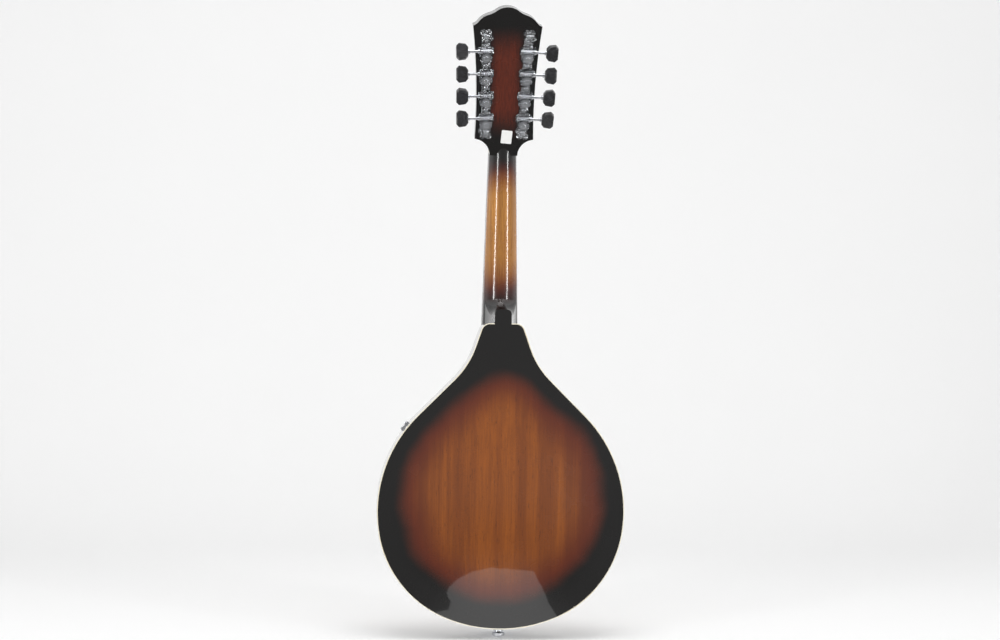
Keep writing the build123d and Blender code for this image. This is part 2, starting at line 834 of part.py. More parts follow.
def string_route(index):
    """A string's corner points: post, nut, saddle and tailpiece hook."""
    radius = string_radius(index)
    nut_x = course_at_nut[index // 2] + pair_offset(index, pair_at_nut)
    saddle_x = course_at_saddle[index // 2] + pair_offset(index, pair_at_saddle)
    over_nut = neck_frame.from_local_coords((nut_x, nut_contact, -string_height_nut))
    over_saddle = neck_frame.from_local_coords(
        (saddle_x, -scale_length, -string_height_saddle))
    side, number = string_post(index)
    post = head_frame.to_local_coords(
        on_strip(side, worm_runs[number] + mesh_distance).origin)
    start = head_frame.to_local_coords(over_nut)
    away = Vector(post.X - start.X, post.Y - start.Y)
    reach = post_waist_radius + radius + string_end_gap
    turn = side * degrees(asin(reach / away.length))
    line = away.normalized() * sqrt(away.length ** 2 - reach ** 2)
    touch = Vector(start.X, start.Y) + line.rotate(Axis.Z, turn)
    on_post = head_frame.from_local_coords((touch.X, touch.Y, -string_post_height))
    on_hook = Vector(hook_x(index) + hook_radius + radius + string_end_gap,
                     body_level(-tailpiece_height - tailpiece_sheet - hook_height / 2).origin.Y,
                     tail_z + hook_run)
    return on_post, over_nut, over_saddle, on_hook


def hook_x(index):
    return hook_spacing * ((string_count - 1) / 2 - index)


def string_tube(index, clearance=0.0):
    """A string as a solid, or the room it needs in a groove."""
    with BuildLine() as path:
        FilletPolyline(*string_route(index), radius=string_bend_radius)
    start = Plane(origin=path.line @ 0, z_dir=path.line % 0)
    with BuildPart() as tube:
        with BuildSketch(start):
            Circle(string_radius(index) + clearance)
        sweep(path=path.wire())
    return tube.part


wound = [string_tube(index) for index in range(0, 4)]
plain = [string_tube(index) for index in range(4, 8)]
save(Compound(children=wound), "wound_strings")
save(Compound(children=plain), "plain_strings")


def cut_string_grooves():
    for index in range(string_count):
        add(string_tube(index, string_groove), mode=Mode.SUBTRACT)


nut_profile_plane = Plane(origin=neck_frame.origin, x_dir=neck_up, z_dir=(1, 0, 0))

with BuildPart() as nut:
    with BuildSketch(nut_profile_plane):
        fall = (nut_thickness - nut_contact) * tan(radians(nut_rear_slope))
        Polygon((0, 0), (nut_thickness, 0), (nut_thickness, fall - string_height_nut),
                (nut_contact, -string_height_nut), (0, -string_height_nut), align=None)
    extrude(amount=nut_width / 2, both=True)
    cut_string_grooves()
save(nut.part, "nut")


# ---------------------------------------------------------------- bridge
crown = top_arch * arch_share(0, bridge_z)
base_top = crown + bridge_base_height
saddle_low = base_top + saddle_travel + wheel_gap + wheel_thickness
saddle_high = bridge_point.Y - rim_front_y
bridge_plane = Plane(origin=(0, rim_front_y, bridge_z), x_dir=(1, 0, 0), z_dir=(0, 1, 0))
stud_places = (stud_spacing / 2, -stud_spacing / 2)


def stud_plane(across):
    """Plane square to a bridge stud, facing away from the top, at the rim's front edge."""
    return Plane(origin=(across, rim_front_y, bridge_z), x_dir=(1, 0, 0), z_dir=(0, 1, 0))


def cut_studs(radius, near, far, mode=Mode.SUBTRACT):
    for across in stud_places:
        cut_cylinder(stud_plane(across), radius, near, far, mode)


stud_foot = base_top - stud_depth
stud_top = saddle_low + stud_in_saddle

with BuildPart() as bridge_base:
    with BuildSketch(bridge_plane):
        RectangleRounded(bridge_length, bridge_width, bridge_width / 2 - 0.2)
    extrude(amount=base_top)
    with BuildSketch(bridge_plane):
        Rectangle(bridge_length / 3, bridge_width + 1)
    extrude(amount=crown + bridge_relief, mode=Mode.SUBTRACT)
    add(below_top, mode=Mode.SUBTRACT)
    cut_studs(stud_radius, stud_foot, base_top + 1)
save(bridge_base.part, "bridge_base")

with BuildPart() as bridge_studs:
    cut_studs(stud_radius, stud_foot, stud_top, Mode.ADD)
save(bridge_studs.part, "bridge_studs")


def thumbwheel(across):
    """Knurled wheel on a stud, under the saddle."""
    plane = stud_plane(across).offset(saddle_low - wheel_thickness)
    with BuildPart() as wheel:
        with BuildSketch(plane):
            Circle(wheel_radius)
            Circle(stud_radius + post_clearance, mode=Mode.SUBTRACT)
            with PolarLocations(wheel_radius, wheel_notches):
                Circle(0.45, mode=Mode.SUBTRACT)
        extrude(amount=wheel_thickness)
    return wheel.part


save(thumbwheel(stud_spacing / 2), "thumbwheel_bass")
save(thumbwheel(-stud_spacing / 2), "thumbwheel_treble")

saddle_front = Plane(origin=(0, rim_front_y, bridge_z), x_dir=(1, 0, 0), z_dir=(0, 0, -1))
saddle_ridge = 1.6

with BuildPart() as saddle:
    with BuildSketch(saddle_front) as face:
        foot = saddle_length / 2
        top = saddle_top_length / 2
        up = 1 if saddle_front.y_dir.Y > 0 else -1
        Polygon((-foot, up * saddle_low), (foot, up * saddle_low),
                (foot, up * (saddle_low + saddle_end_height)), (top, up * saddle_high),
                (-top, up * saddle_high), (-foot, up * (saddle_low + saddle_end_height)),
                align=None)
    extrude(amount=saddle_width / 2, both=True)
    with BuildSketch(Plane(origin=(0, rim_front_y, bridge_z), x_dir=(0, 1, 0),
                           z_dir=(1, 0, 0))):
        Polygon((saddle_low, -saddle_width / 2), (saddle_low, saddle_width / 2),
                (saddle_low + saddle_end_height, saddle_width / 2),
                (saddle_high, saddle_ridge / 2), (saddle_high, -saddle_ridge / 2),
                (saddle_low + saddle_end_height, -saddle_width / 2), align=None)
    extrude(amount=saddle_length, both=True, mode=Mode.INTERSECT)
    cut_studs(stud_radius + post_clearance, saddle_low - 1, stud_top + saddle_travel + 0.3)
    cut_string_grooves()
save(saddle.part, "saddle")


# ---------------------------------------------------------------- tailpiece and strap button
tailpiece_half = tailpiece_width / 2
sheet_front = -tailpiece_height - tailpiece_sheet

with BuildPart() as tailpiece_base:
    with BuildSketch(body_level(sheet_front)):
        draw_body(-tailpiece_sheet)
        draw_box((-tailpiece_half, tail_z - tailpiece_sheet - 1),
                 (tailpiece_half, tail_z + tailpiece_length), Mode.INTERSECT)
    extrude(amount=tailpiece_sheet)
    with BuildSketch(body_level(sheet_front)):
        draw_body(-tailpiece_sheet)
        draw_body(0, Mode.SUBTRACT)
        draw_box((-tailpiece_half, tail_z - tailpiece_sheet - 1),
                 (tailpiece_half, tail_z + tail_block_length), Mode.INTERSECT)
    extrude(amount=tailpiece_leg - sheet_front)
    with BuildSketch(body_level(sheet_front)):
        with Locations(*[(hook_x(index), tail_z + hook_run) for index in range(string_count)]):
            Circle(hook_radius)
    extrude(amount=-hook_height)
    cut_cylinder(tail_plane, strap_shank_radius, -1, 3)
    for place in tail_screws:
        cut_cylinder(tail_screw_plane(place), screw_radius, -2, 3)
save(tailpiece_base.part, "tailpiece_base")

cover_low = tail_z - tailpiece_sheet - cover_gap - cover_sheet
cover_length = tail_z + tailpiece_length - cover_low


def draw_cover(extra, base):
    """Arched section of the tailpiece's cover: local x across, y to the front."""
    half = tailpiece_half + cover_gap + extra
    top = cover_height + extra
    with BuildLine() as edge:
        Line((-half, base), (half, base))
        Line((half, base), (half, cover_side + extra))
        ThreePointArc((half, cover_side + extra), (0, top), (-half, cover_side + extra))
        Line((-half, cover_side + extra), (-half, base))
    make_face(edge.edges())


cover_plane = Plane(origin=(0, rim_front_y + tailpiece_height, cover_low), x_dir=(1, 0, 0),
                    z_dir=(0, 0, 1))

with BuildPart() as tailpiece_cover:
    with BuildSketch(cover_plane) as outside:
        draw_cover(cover_sheet, 0)
    extrude(outside.sketch, amount=cover_length)
    with BuildSketch(cover_plane.offset(cover_sheet)) as inside:
        draw_cover(0, -1)
    extrude(inside.sketch, amount=cover_length, mode=Mode.SUBTRACT)
save(tailpiece_cover.part, "tailpiece_cover")

with BuildPart() as strap_button:
    cut_cylinder(tail_plane, strap_shank_radius, -strap_shank_length, tailpiece_sheet, Mode.ADD)
    with BuildSketch(Plane(origin=tail_plane.origin, x_dir=(1, 0, 0), z_dir=(0, 1, 0))):
        with BuildLine():
            low = tailpiece_sheet
            rim = strap_reach - strap_head_length
            Line((0, low), (strap_head_radius - 1.0, low))
            Line((strap_head_radius - 1.0, low), (strap_head_radius - 1.0, low + 0.8))
            RadiusArc((strap_head_radius - 1.0, low + 0.8), (strap_head_radius, rim), 3.4)
            Line((strap_head_radius, rim), (strap_head_radius, strap_reach - 0.6))
            Line((strap_head_radius, strap_reach - 0.6), (strap_head_radius - 0.8, strap_reach))
            Line((strap_head_radius - 0.8, strap_reach), (0, strap_reach))
            Line((0, strap_reach), (0, low))
        make_face()
    revolve(axis=Axis(tail_plane.origin, (0, 0, -1)))
save(strap_button.part, "strap_button")


# ---------------------------------------------------------------- pickguard and its bracket
pickguard_inner = board_half_width(joint_run) + 2.2
pickguard_outer = 50.0
pickguard_high = 26.0         # top end below the shoulder
pickguard_bridge_gap = 14.0
pickguard_corner = 2.0
bracket_reach = 68.0

with BuildPart() as pickguard:
    with BuildSketch(body_level(-pickguard_height - pickguard_thickness)):
        high = shoulder_z - pickguard_high
        low = bridge_z + pickguard_bridge_gap
        with BuildLine():
            FilletPolyline((-pickguard_inner, high), (-pickguard_inner - 4.0, high - 4.0),
                           (-pickguard_outer, high - 66.0), (-pickguard_outer + 3.0, low),
                           (-pickguard_inner, low), radius=pickguard_corner)
            Line((-pickguard_inner, low), (-pickguard_inner, high))
        make_face()
    extrude(amount=pickguard_thickness)
save(pickguard.part, "pickguard")


with BuildPart() as pickguard_bracket:
    # The leg follows the rim's curve; the arm reaches in under the pickguard.
    arm_plane = body_level(-pickguard_height)
    spot = arm_plane.to_local_coords(bracket_plane.origin)
    turn = degrees(atan2(bracket_plane.x_dir.Z, bracket_plane.x_dir.X))
    with BuildSketch(arm_plane):
        draw_body(-bracket_sheet)
        draw_body(0, Mode.SUBTRACT)
        with Locations(Location((spot.X, spot.Y, 0), (0, 0, turn))):
            Rectangle(bracket_width, bracket_width, mode=Mode.INTERSECT)
    extrude(amount=pickguard_height + bracket_leg)
    with BuildSketch(arm_plane):
        with Locations(Location((spot.X, spot.Y, 0), (0, 0, turn))):
            draw_box((-bracket_width / 2, -bracket_reach), (bracket_width / 2, bracket_sheet / 2))
    extrude(amount=bracket_sheet)
    for place in bracket_screws:
        cut_cylinder(bracket_screw_plane(place), screw_radius, -1, 3)
save(pickguard_bracket.part, "pickguard_bracket")


# ---------------------------------------------------------------- screws and bushings
with BuildPart() as wood_screw:
    cut_cylinder(Plane.XY, screw_radius, -screw_length + 1.5, 0, Mode.ADD)
    with BuildSketch(Plane.XY.offset(-screw_length + 1.5)):
        Circle(screw_radius)
    extrude(amount=-1.5, taper=35)
    cut_cylinder(Plane.XY, screw_head_radius, 0, screw_head_height, Mode.ADD)
    fillet(wood_screw.edges().sort_by(Axis.Z)[-1], radius=screw_head_height * 0.6)
    with BuildSketch(Plane.XY.offset(screw_head_height / 2)):
        Rectangle(2 * screw_head_radius, screw_slot)
    extrude(amount=screw_head_height, mode=Mode.SUBTRACT)

tuner_screw_planes = [on_strip(side, run, tuner_plate_thickness)
                      for side in (bass, treble) for run in screw_runs]
body_screw_planes = [bracket_screw_plane(along).offset(bracket_sheet) for along in bracket_screws]
body_screw_planes += [tail_screw_plane(place).offset(tailpiece_sheet) for place in tail_screws]


def save_copies(piece, planes, label):
    """One node of equal, separate pieces, one on each plane."""
    save(Compound(children=[piece.moved(plane.location) for plane in planes]), label)


save_copies(wood_screw.part, tuner_screw_planes, "tuner_screws")
save_copies(wood_screw.part, cover_screw_planes + body_screw_planes, "wood_screws")

with BuildPart() as bushing:
    cut_cylinder(Plane.XY, bushing_flange_radius, -bushing_flange, 0, Mode.ADD)
    cut_cylinder(Plane.XY, bushing_radius, 0, bushing_length, Mode.ADD)
    cut_cylinder(Plane.XY, post_radius + post_clearance, -bushing_flange - 1,
                 bushing_length + 1)

post_places = [(side, index) for side in (bass, treble) for index in range(tuners_per_side)]
save_copies(bushing.part,
            [on_strip(side, worm_runs[index] + mesh_distance, -head_thickness)
             for side, index in post_places], "post_bushings")


# ---------------------------------------------------------------- tuner plates
plate_lobe = 3.2
plate_lobe_reach = 4.8
lug_near = worm_length / 2 + lug_gap


def tuner_plate(side):
    """Pressed plate with a pair of ears for each worm, a hole for each post, and screw pads."""
    with BuildPart() as plate:
        with BuildSketch(strips[side]):
            ends = sorted((-side * screw_runs[0], -side * screw_runs[-1]))
            draw_box((-plate_spine_width / 2, ends[0]), (plate_spine_width / 2, ends[1]))
            for run in worm_runs:
                with Locations((0, -side * run)):
                    RectangleRounded(plate_worm_width, lug_width + 2.4, 2.0)
                with Locations((0, -side * (run + mesh_distance))):
                    Circle(plate_gear_radius)
            for run in screw_runs:
                with Locations((0, -side * run)):
                    Circle(plate_screw_pad)
            for end in ends:
                with Locations((0, end)):
                    with PolarLocations(plate_lobe_reach, 3, start_angle=-20 if end > 0 else 160,
                                        angular_range=220):
                        Circle(plate_lobe)
        extrude(amount=tuner_plate_thickness)
        for run in worm_runs:
            for near in (lug_near, -lug_near - lug_thickness):
                ear = Plane(origin=strips[side].from_local_coords((near, -side * run, 0)),
                            x_dir=strips[side].y_dir, z_dir=strips[side].x_dir)
                with BuildSketch(ear):
                    draw_box((-lug_width / 2, 0), (lug_width / 2, worm_height))
                    with Locations((0, worm_height)):
                        Circle(lug_width / 2)
                        Circle(shaft_radius + shaft_clearance, mode=Mode.SUBTRACT)
                extrude(amount=lug_thickness)
            cut_cylinder(on_strip(side, run + mesh_distance), post_radius + post_clearance, -1, 3)
        for run in screw_runs:
            cut_cylinder(on_strip(side, run), screw_radius, -1, 3)
    return plate.part


save(tuner_plate(bass), "tuner_plate_bass")
save(tuner_plate(treble), "tuner_plate_treble")

# ---------------------------------------------------------------- worm, gear, post and button
# The worm's frame: x outwards along its shaft, z to the back. Its thread crosses +z at x = 0.
worm_pitch = 2 * pi * gear_pitch_radius / gear_teeth
worm_pitch_radius = mesh_distance - gear_pitch_radius
flank_slope = tan(radians(20))
thread_turns = 4
collar_radius = 2.4
collar_length = 1.8
shaft_in_button = 8.0
thread_root_lap = 0.2


def flank_half_width(below):
    """Half a tooth's width, a distance below the pitch line."""
    return (worm_pitch / 2 - mesh_play) / 2 + below * flank_slope


with BuildLine() as thread_path:
    Helix(worm_pitch, thread_turns * worm_pitch, worm_root_radius,
          center=(-thread_turns * worm_pitch / 2, 0, 0), direction=(1, 0, 0))
thread_start = thread_path.line @ 0
thread_plane = Plane(origin=thread_start, x_dir=Vector(0, thread_start.Y, thread_start.Z),
                     z_dir=thread_path.line % 0)

with BuildPart() as worm_shaft:
    inner_end = -lug_near - lug_thickness - 0.7
    shaft_end = button_reach + shaft_in_button
    collar_start = lug_near + lug_thickness + lug_gap
    cut_cylinder(Plane.YZ, worm_root_radius, -worm_length / 2, worm_length / 2, Mode.ADD)
    with BuildSketch(thread_plane):
        foot = flank_half_width(worm_pitch_radius - worm_root_radius + thread_root_lap)
        tip = flank_half_width(worm_pitch_radius - worm_tip_radius)
        Polygon((-thread_root_lap, -foot), (worm_tip_radius - worm_root_radius, -tip),
                (worm_tip_radius - worm_root_radius, tip), (-thread_root_lap, foot), align=None)
    sweep(path=thread_path.line.edge(), is_frenet=True)
    cut_cylinder(Plane.YZ, shaft_radius, inner_end, -worm_length / 2, Mode.ADD)
    cut_cylinder(Plane.YZ, shaft_radius, worm_length / 2, shaft_end, Mode.ADD)
    cut_cylinder(Plane.YZ, collar_radius, collar_start, collar_start + collar_length, Mode.ADD)
    cut_cylinder(Plane.YZ, collar_radius, button_reach - collar_length, button_reach, Mode.ADD)

with BuildPart() as tuner_button:
    with BuildSketch(Plane.XY):
        start = button_reach
        end = button_reach + button_length
        wide = button_height / 2
        Polygon((start, -wide * 0.5), (start + 2.6, -wide * 0.88), (end - 2.8, -wide),
                (end, -wide * 0.66), (end, wide * 0.66), (end - 2.8, wide),
                (start + 2.6, wide * 0.88), (start, wide * 0.5), align=None)
    extrude(amount=button_thickness / 2, both=True)
    fillet(tuner_button.edges().filter_by(Axis.Z), radius=1.4)
    fillet(tuner_button.edges().group_by(Axis.Z)[0], radius=1.3)
    fillet(tuner_button.edges().group_by(Axis.Z)[-1], radius=1.3)
    cut_cylinder(Plane.YZ, shaft_radius, button_reach - 1, button_reach + shaft_in_button)

# The post's frame: z to the back from the headstock's rear face.
gear_low = worm_height - gear_width / 2
gear_high = worm_height + gear_width / 2
post_square = 3.0
groove_low = string_post_height - 2.0
groove_high = string_post_height + 1.8
string_hole_radius = 0.7
gear_screw_radius = 2.3
gear_screw_height = 1.5

with BuildPart() as string_post:
    cut_cylinder(Plane.XY, post_radius, -head_thickness - post_height, gear_low, Mode.ADD)
    with BuildSketch(Plane.XY.offset(-head_thickness - groove_high)):
        Circle(post_radius + 1)
        Circle(post_waist_radius, mode=Mode.SUBTRACT)
    extrude(amount=groove_high - groove_low, mode=Mode.SUBTRACT)
    fillet(string_post.edges().sort_by(Axis.Z)[0], radius=0.8)
    with BuildSketch(Plane.XY.offset(gear_low)):
        Rectangle(post_square, post_square)
    extrude(amount=gear_width)
    cut_cylinder(Plane(origin=(0, 0, -head_thickness - string_post_height), z_dir=(1, 0, 0)),
                 string_hole_radius, -post_radius - 1, post_radius + 1)

with BuildPart() as gear_screw:
    cut_cylinder(Plane.XY, gear_screw_radius, gear_high, gear_high + gear_screw_height, Mode.ADD)
    fillet(gear_screw.edges().sort_by(Axis.Z)[-1], radius=0.6)
    with BuildSketch(Plane.XY.offset(gear_high + gear_screw_height / 2)):
        Rectangle(2 * gear_screw_radius, screw_slot)
    extrude(amount=gear_screw_height, mode=Mode.SUBTRACT)

gear_twist = degrees(gear_width * worm_pitch / (2 * pi * worm_pitch_radius) / gear_pitch_radius)

with BuildSketch() as gear_outline:
    Circle(gear_root_radius)
    with PolarLocations(0, gear_teeth):
        below = gear_pitch_radius - gear_root_radius
        Polygon((gear_root_radius - 0.3, -flank_half_width(below + 0.3)),
                (gear_tip_radius, -flank_half_width(gear_pitch_radius - gear_tip_radius)),
                (gear_tip_radius, flank_half_width(gear_pitch_radius - gear_tip_radius)),
                (gear_root_radius - 0.3, flank_half_width(below + 0.3)), align=None)
gear_start = gear_outline.sketch.face().moved(Location((0, 0, gear_low), (0, 0, -gear_twist / 2)))
gear_blank = Solid.extrude_linear_with_rotation(
    gear_start, center=(0, 0, gear_low), normal=(0, 0, gear_width), angle=gear_twist)


def worm_gear(turn):
    """Gear turned into mesh with its worm, with a square hole on the post's peg."""
    with BuildPart() as gear:
        add(gear_blank.moved(Location((0, 0, 0), (0, 0, turn))))
        with BuildSketch(Plane.XY.offset(gear_low - 1)):
            Rectangle(post_square, post_square)
        extrude(amount=gear_width + 2, mode=Mode.SUBTRACT)
    return gear.part


quarter_tooth = 360 / gear_teeth / 4
gears = {side: worm_gear(side * 90 + quarter_tooth) for side in (bass, treble)}

for side, index in post_places:
    name = f"{'bass' if side == bass else 'treble'}_{index + 1}"
    worm_place = on_strip(side, worm_runs[index], worm_height).location
    post_place = on_strip(side, worm_runs[index] + mesh_distance).location
    turn = Location((0, 0, 0), (button_turns[side][index], 0, 0))
    save(worm_shaft.part.moved(worm_place), f"worm_shaft_{name}")
    save(tuner_button.part.moved(worm_place * turn), f"tuner_button_{name}")
    post_pieces = [string_post.part, gears[side], gear_screw.part]
    save(Compound(children=[piece.moved(post_place) for piece in post_pieces]),
         f"string_post_{name}")
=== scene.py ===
import math

import bpy
from bpy.props import FloatProperty, FloatVectorProperty, IntProperty, PointerProperty
from bpy.types import Operator, Panel, PropertyGroup
from mathutils import Matrix, Vector


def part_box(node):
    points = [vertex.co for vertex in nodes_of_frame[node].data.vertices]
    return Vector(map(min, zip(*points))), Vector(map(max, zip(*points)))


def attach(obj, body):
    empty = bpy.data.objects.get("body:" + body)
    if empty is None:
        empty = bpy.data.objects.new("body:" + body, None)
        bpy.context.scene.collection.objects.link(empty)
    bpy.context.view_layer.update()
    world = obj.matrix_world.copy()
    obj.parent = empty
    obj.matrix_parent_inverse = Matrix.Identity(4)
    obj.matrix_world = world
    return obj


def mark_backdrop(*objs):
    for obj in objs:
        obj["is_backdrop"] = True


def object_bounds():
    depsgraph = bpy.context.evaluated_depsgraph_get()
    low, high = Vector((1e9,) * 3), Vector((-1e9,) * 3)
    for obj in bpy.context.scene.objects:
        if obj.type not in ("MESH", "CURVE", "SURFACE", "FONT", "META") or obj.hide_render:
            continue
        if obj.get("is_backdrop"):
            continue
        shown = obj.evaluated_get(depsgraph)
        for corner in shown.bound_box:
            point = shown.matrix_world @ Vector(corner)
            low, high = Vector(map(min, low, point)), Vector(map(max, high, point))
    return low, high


bl_info = {
    "name": "Mandolin Finish and Fittings",
    "version": (1, 0, 0),
    "blender": (4, 5, 0),
    "location": "3D View > Sidebar > Mandolin",
    "description": "Lacquer, metal, strings, post windings and a white studio for a carved mandolin",
    "category": "Object",
}

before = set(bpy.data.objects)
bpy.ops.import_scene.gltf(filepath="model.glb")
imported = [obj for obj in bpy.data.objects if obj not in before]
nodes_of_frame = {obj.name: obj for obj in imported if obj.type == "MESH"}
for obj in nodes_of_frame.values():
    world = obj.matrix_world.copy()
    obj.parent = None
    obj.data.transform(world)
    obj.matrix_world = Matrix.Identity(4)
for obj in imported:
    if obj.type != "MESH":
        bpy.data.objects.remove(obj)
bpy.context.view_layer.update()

MM = 0.001
BASS, TREBLE = "bass", "treble"

# The headstock leans back from the nut: its foot, the way up it, and the way out of its back
HEAD_FOOT = Vector((0, 4.651, 4.988)) * MM
HEAD_UP = Vector((0, -0.292372, 0.956305))
HEAD_BACK = Vector((0, -0.956305, -0.292372))
HEAD_THICKNESS = 15 * MM


def shade(red, green, blue):
    """A display colour of 0 to 255 as Blender's linear colour."""
    return tuple(
        ((c / 255 + 0.055) / 1.055) ** 2.4 if c > 10 else c / 255 / 12.92 for c in (red, green, blue)
)


def tint(name, description, default):
    """A colour that the user may change."""
    return FloatVectorProperty(
        name=name, description=description, subtype="COLOR", size=3, min=0, max=1, default=default
)


def length(name, description, default):
    """A length that the user may change, in metres."""
    return FloatProperty(
        name=name, description=description, subtype="DISTANCE", unit="LENGTH", default=default
)


# ---------------------------------------------------------------- sizes and colours


class MandolinBurst(PropertyGroup):
    """Colours of the lacquered wood, and the shape of the bright middle of the back and top."""

    amber: tint("Amber", "Bright middle of the mahogany back", shade(144, 76, 18))
    ribbon: tint("Ribbon", "Darker ribbons in the mahogany", shade(114, 56, 16))
    russet: tint("Russet", "Red brown between the middle and the black edge", shade(98, 34, 12))
    soot: tint("Soot", "Black edge of the burst", shade(9, 7, 6))
    honey: tint("Honey", "Middle of the back of the neck", shade(206, 142, 62))
    spruce: tint("Spruce", "Bright middle of the top", shade(222, 158, 74))
    bare_wood: tint("Bare wood", "Unfinished blocks, linings and bars inside", shade(196, 160, 112))
    lower_centre: length("Lower centre", "Height of the wide end of the bright middle", -355 * MM)
    lower_radius: length("Lower radius", "Radius of the wide end of the bright middle", 94 * MM)
    upper_centre: length("Upper centre", "Height of the narrow end of the bright middle", -272 * MM)
    upper_radius: length("Upper radius", "Radius of the narrow end of the bright middle", 33 * MM)


class MandolinTrim(PropertyGroup):
    """Colours of the fingerboard, bindings, metal and plastic."""

    rosewood: tint("Rosewood", "Fingerboard and bridge", shade(66, 38, 28))
    binding: tint("Binding", "White plastic round the body", shade(236, 230, 212))
    bone: tint("Bone", "Nut", shade(230, 222, 200))
    chrome: tint("Chrome", "Tuner plates, posts and tailpiece", shade(214, 216, 220))
    nickel: tint("Nickel", "Frets and plain strings", shade(196, 194, 188))
    brass: tint("Brass", "Thumbwheels and truss rod nut", shade(206, 164, 86))
    bronze: tint("Bronze", "Windings of the wound strings", shade(190, 142, 92))
    black: tint("Black plastic", "Pickguard, truss rod cover and headstock face", shade(16, 15, 15))
    button: tint("Buttons", "Tuner buttons", shade(34, 34, 36))


class MandolinLabel(PropertyGroup):
    """The blank sticker on the back of the headstock."""

    paper: tint("Paper", "Blank sticker", shade(238, 238, 236))
    width: length("Width", "Width of the sticker", 11 * MM)
    height: length("Height", "Height of the sticker", 13.7 * MM)
    across: length("Across", "How far the sticker is from the middle, to the bass side", 2.6 * MM)
    up: length("Up", "How far the sticker is up the headstock", 15.5 * MM)
    thickness: length("Thickness", "Paper and glue", 0.12 * MM)
    lean: FloatProperty(
        name="Lean",
        description="How far the sticker is turned clockwise",
        subtype="ANGLE",
        unit="ROTATION",
        default=math.radians(4.8),
)


class MandolinWindings(PropertyGroup):
    """The turns of string on the posts."""

    post_radius: length("Post radius", "Radius of the waist of a post", 2.5 * MM)
    low: length("Low turn", "Height of the lowest turn over the headstock face", 2.75 * MM)
    high: length("High turn", "Height under which the last turn stays", 6.3 * MM)
    wound_turns: IntProperty(
        name="Wound turns", description="Turns of a wound string", default=3, min=1, max=6
)
    plain_turns: IntProperty(
        name="Plain turns", description="Turns of a plain string", default=5, min=1, max=9
)


class MandolinStage(PropertyGroup):
    """The white studio and the camera."""

    backdrop: tint("Backdrop", "Paper behind and under the mandolin", shade(240, 240, 240))
    distance: length("Camera distance", "From the camera to the back of the mandolin", 2.3)
    width: length("Picture width", "Width that the picture shows at the back of the mandolin", 1.008)
    eye: length("Camera height", "Height of the camera", -172.2 * MM)
    aside: length("Aim", "Where the middle of the picture is, from the middle of the mandolin", -5 * MM)
    turn: FloatProperty(
        name="Turn",
        description="How far round the camera stands",
        subtype="ANGLE",
        unit="ROTATION",
        default=math.radians(-4.5),
)
    roll: FloatProperty(
        name="Roll",
        description="How far the camera is rolled",
        subtype="ANGLE",
        unit="ROTATION",
        default=math.radians(0.66),
)
    lift: FloatProperty(
        name="Paper lift",
        description="How much the paper is brightened where it is seen",
        default=0.16,
        min=0,
)
    card: FloatProperty(
        name="Card",
        description="Brightness of the card that the low part of the back mirrors",
        default=1.5,
        min=0,
)
    room: FloatProperty(
        name="Room",
        description="Brightness of the room behind the camera, as gloss mirrors it",
        default=0.4,
        min=0,
)
    air: FloatProperty(name="Air", description="Light from all round", default=0.55, min=0)
    strip_power: FloatProperty(
        name="Strip power",
        description="Power of each tall strip light",
        subtype="POWER",
        unit="POWER",
        default=9,
        min=0,
)
    top_power: FloatProperty(
        name="Top power",
        description="Power of the light overhead",
        subtype="POWER",
        unit="POWER",
        default=14,
        min=0,
)


# ---------------------------------------------------------------- small tools


def put(tree, kind, inputs=(), **settings):
    """Adds a shader node, sets it, and fills its inputs with values or with other nodes' outputs."""
    made = tree.nodes.new("ShaderNode" + kind)
    for name, value in settings.items():
        setattr(made, name, value)
    for key, value in dict(inputs).items():
        if isinstance(value, bpy.types.NodeSocket):
            tree.links.new(value, made.inputs[key])
        else:
            made.inputs[key].default_value = value
    return made


def sum_of(tree, operation, first, second=0.0, third=None):
    """One sum: an operation on two or three numbers, given as values or as nodes' outputs."""
    made = put(tree, "Math", {0: first, 1: second}, operation=operation)
    if third is not None:
        if isinstance(third, bpy.types.NodeSocket):
            tree.links.new(third, made.inputs[2])
        else:
            made.inputs[2].default_value = third
    return made.outputs[0]


def ease(tree, value, start, end, low=0.0, high=1.0):
    """Low before start, high after end, and smooth between them."""
    made = put(
        tree,
        "MapRange",
        {"Value": value, "From Min": start, "From Max": end, "To Min": low, "To Max": high},
        interpolation_type="SMOOTHSTEP",
)
    return made.outputs["Result"]


def blend_colours(tree, amount, first, second, how="MIX"):
    """The first colour at 0, the second at 1."""
    made = put(tree, "Mix", {0: amount}, data_type="RGBA", blend_type=how)
    for socket, value in ((made.inputs[6], first), (made.inputs[7], second)):
        if isinstance(value, bpy.types.NodeSocket):
            tree.links.new(value, socket)
        else:
            socket.default_value = (*value[:3], 1)
    return made.outputs[2]


def bands(tree, value, stops):
    """A ramp from a number to colours, given as place and colour."""
    ramp = put(tree, "ValToRGB", {"Fac": value})
    steps = ramp.color_ramp.elements
    steps[0].position, steps[0].color = stops[0][0], (*stops[0][1], 1)
    steps[1].position, steps[1].color = stops[-1][0], (*stops[-1][1], 1)
    for place, colour in stops[1:-1]:
        steps.new(place).color = (*colour, 1)
    return ramp.outputs["Color"]


def stretched(tree, vector, stretch):
    """Coordinates squeezed along each axis, so that a pattern runs long or short there."""
    return put(tree, "Mapping", {"Vector": vector, "Scale": stretch}).outputs["Vector"]


def group(name, inputs, outputs):
    """An empty node group with its sockets, and the nodes at its two ends."""
    tree = bpy.data.node_groups.new(name, "ShaderNodeTree")
    for label, kind, default in inputs:
        made = tree.interface.new_socket(name=label, in_out="INPUT", socket_type="NodeSocket" + kind)
        if default is not None:
            made.default_value = default
    for label, kind in outputs:
        tree.interface.new_socket(name=label, in_out="OUTPUT", socket_type="NodeSocket" + kind)
    return tree, tree.nodes.new("NodeGroupInput").outputs, tree.nodes.new("NodeGroupOutput").inputs


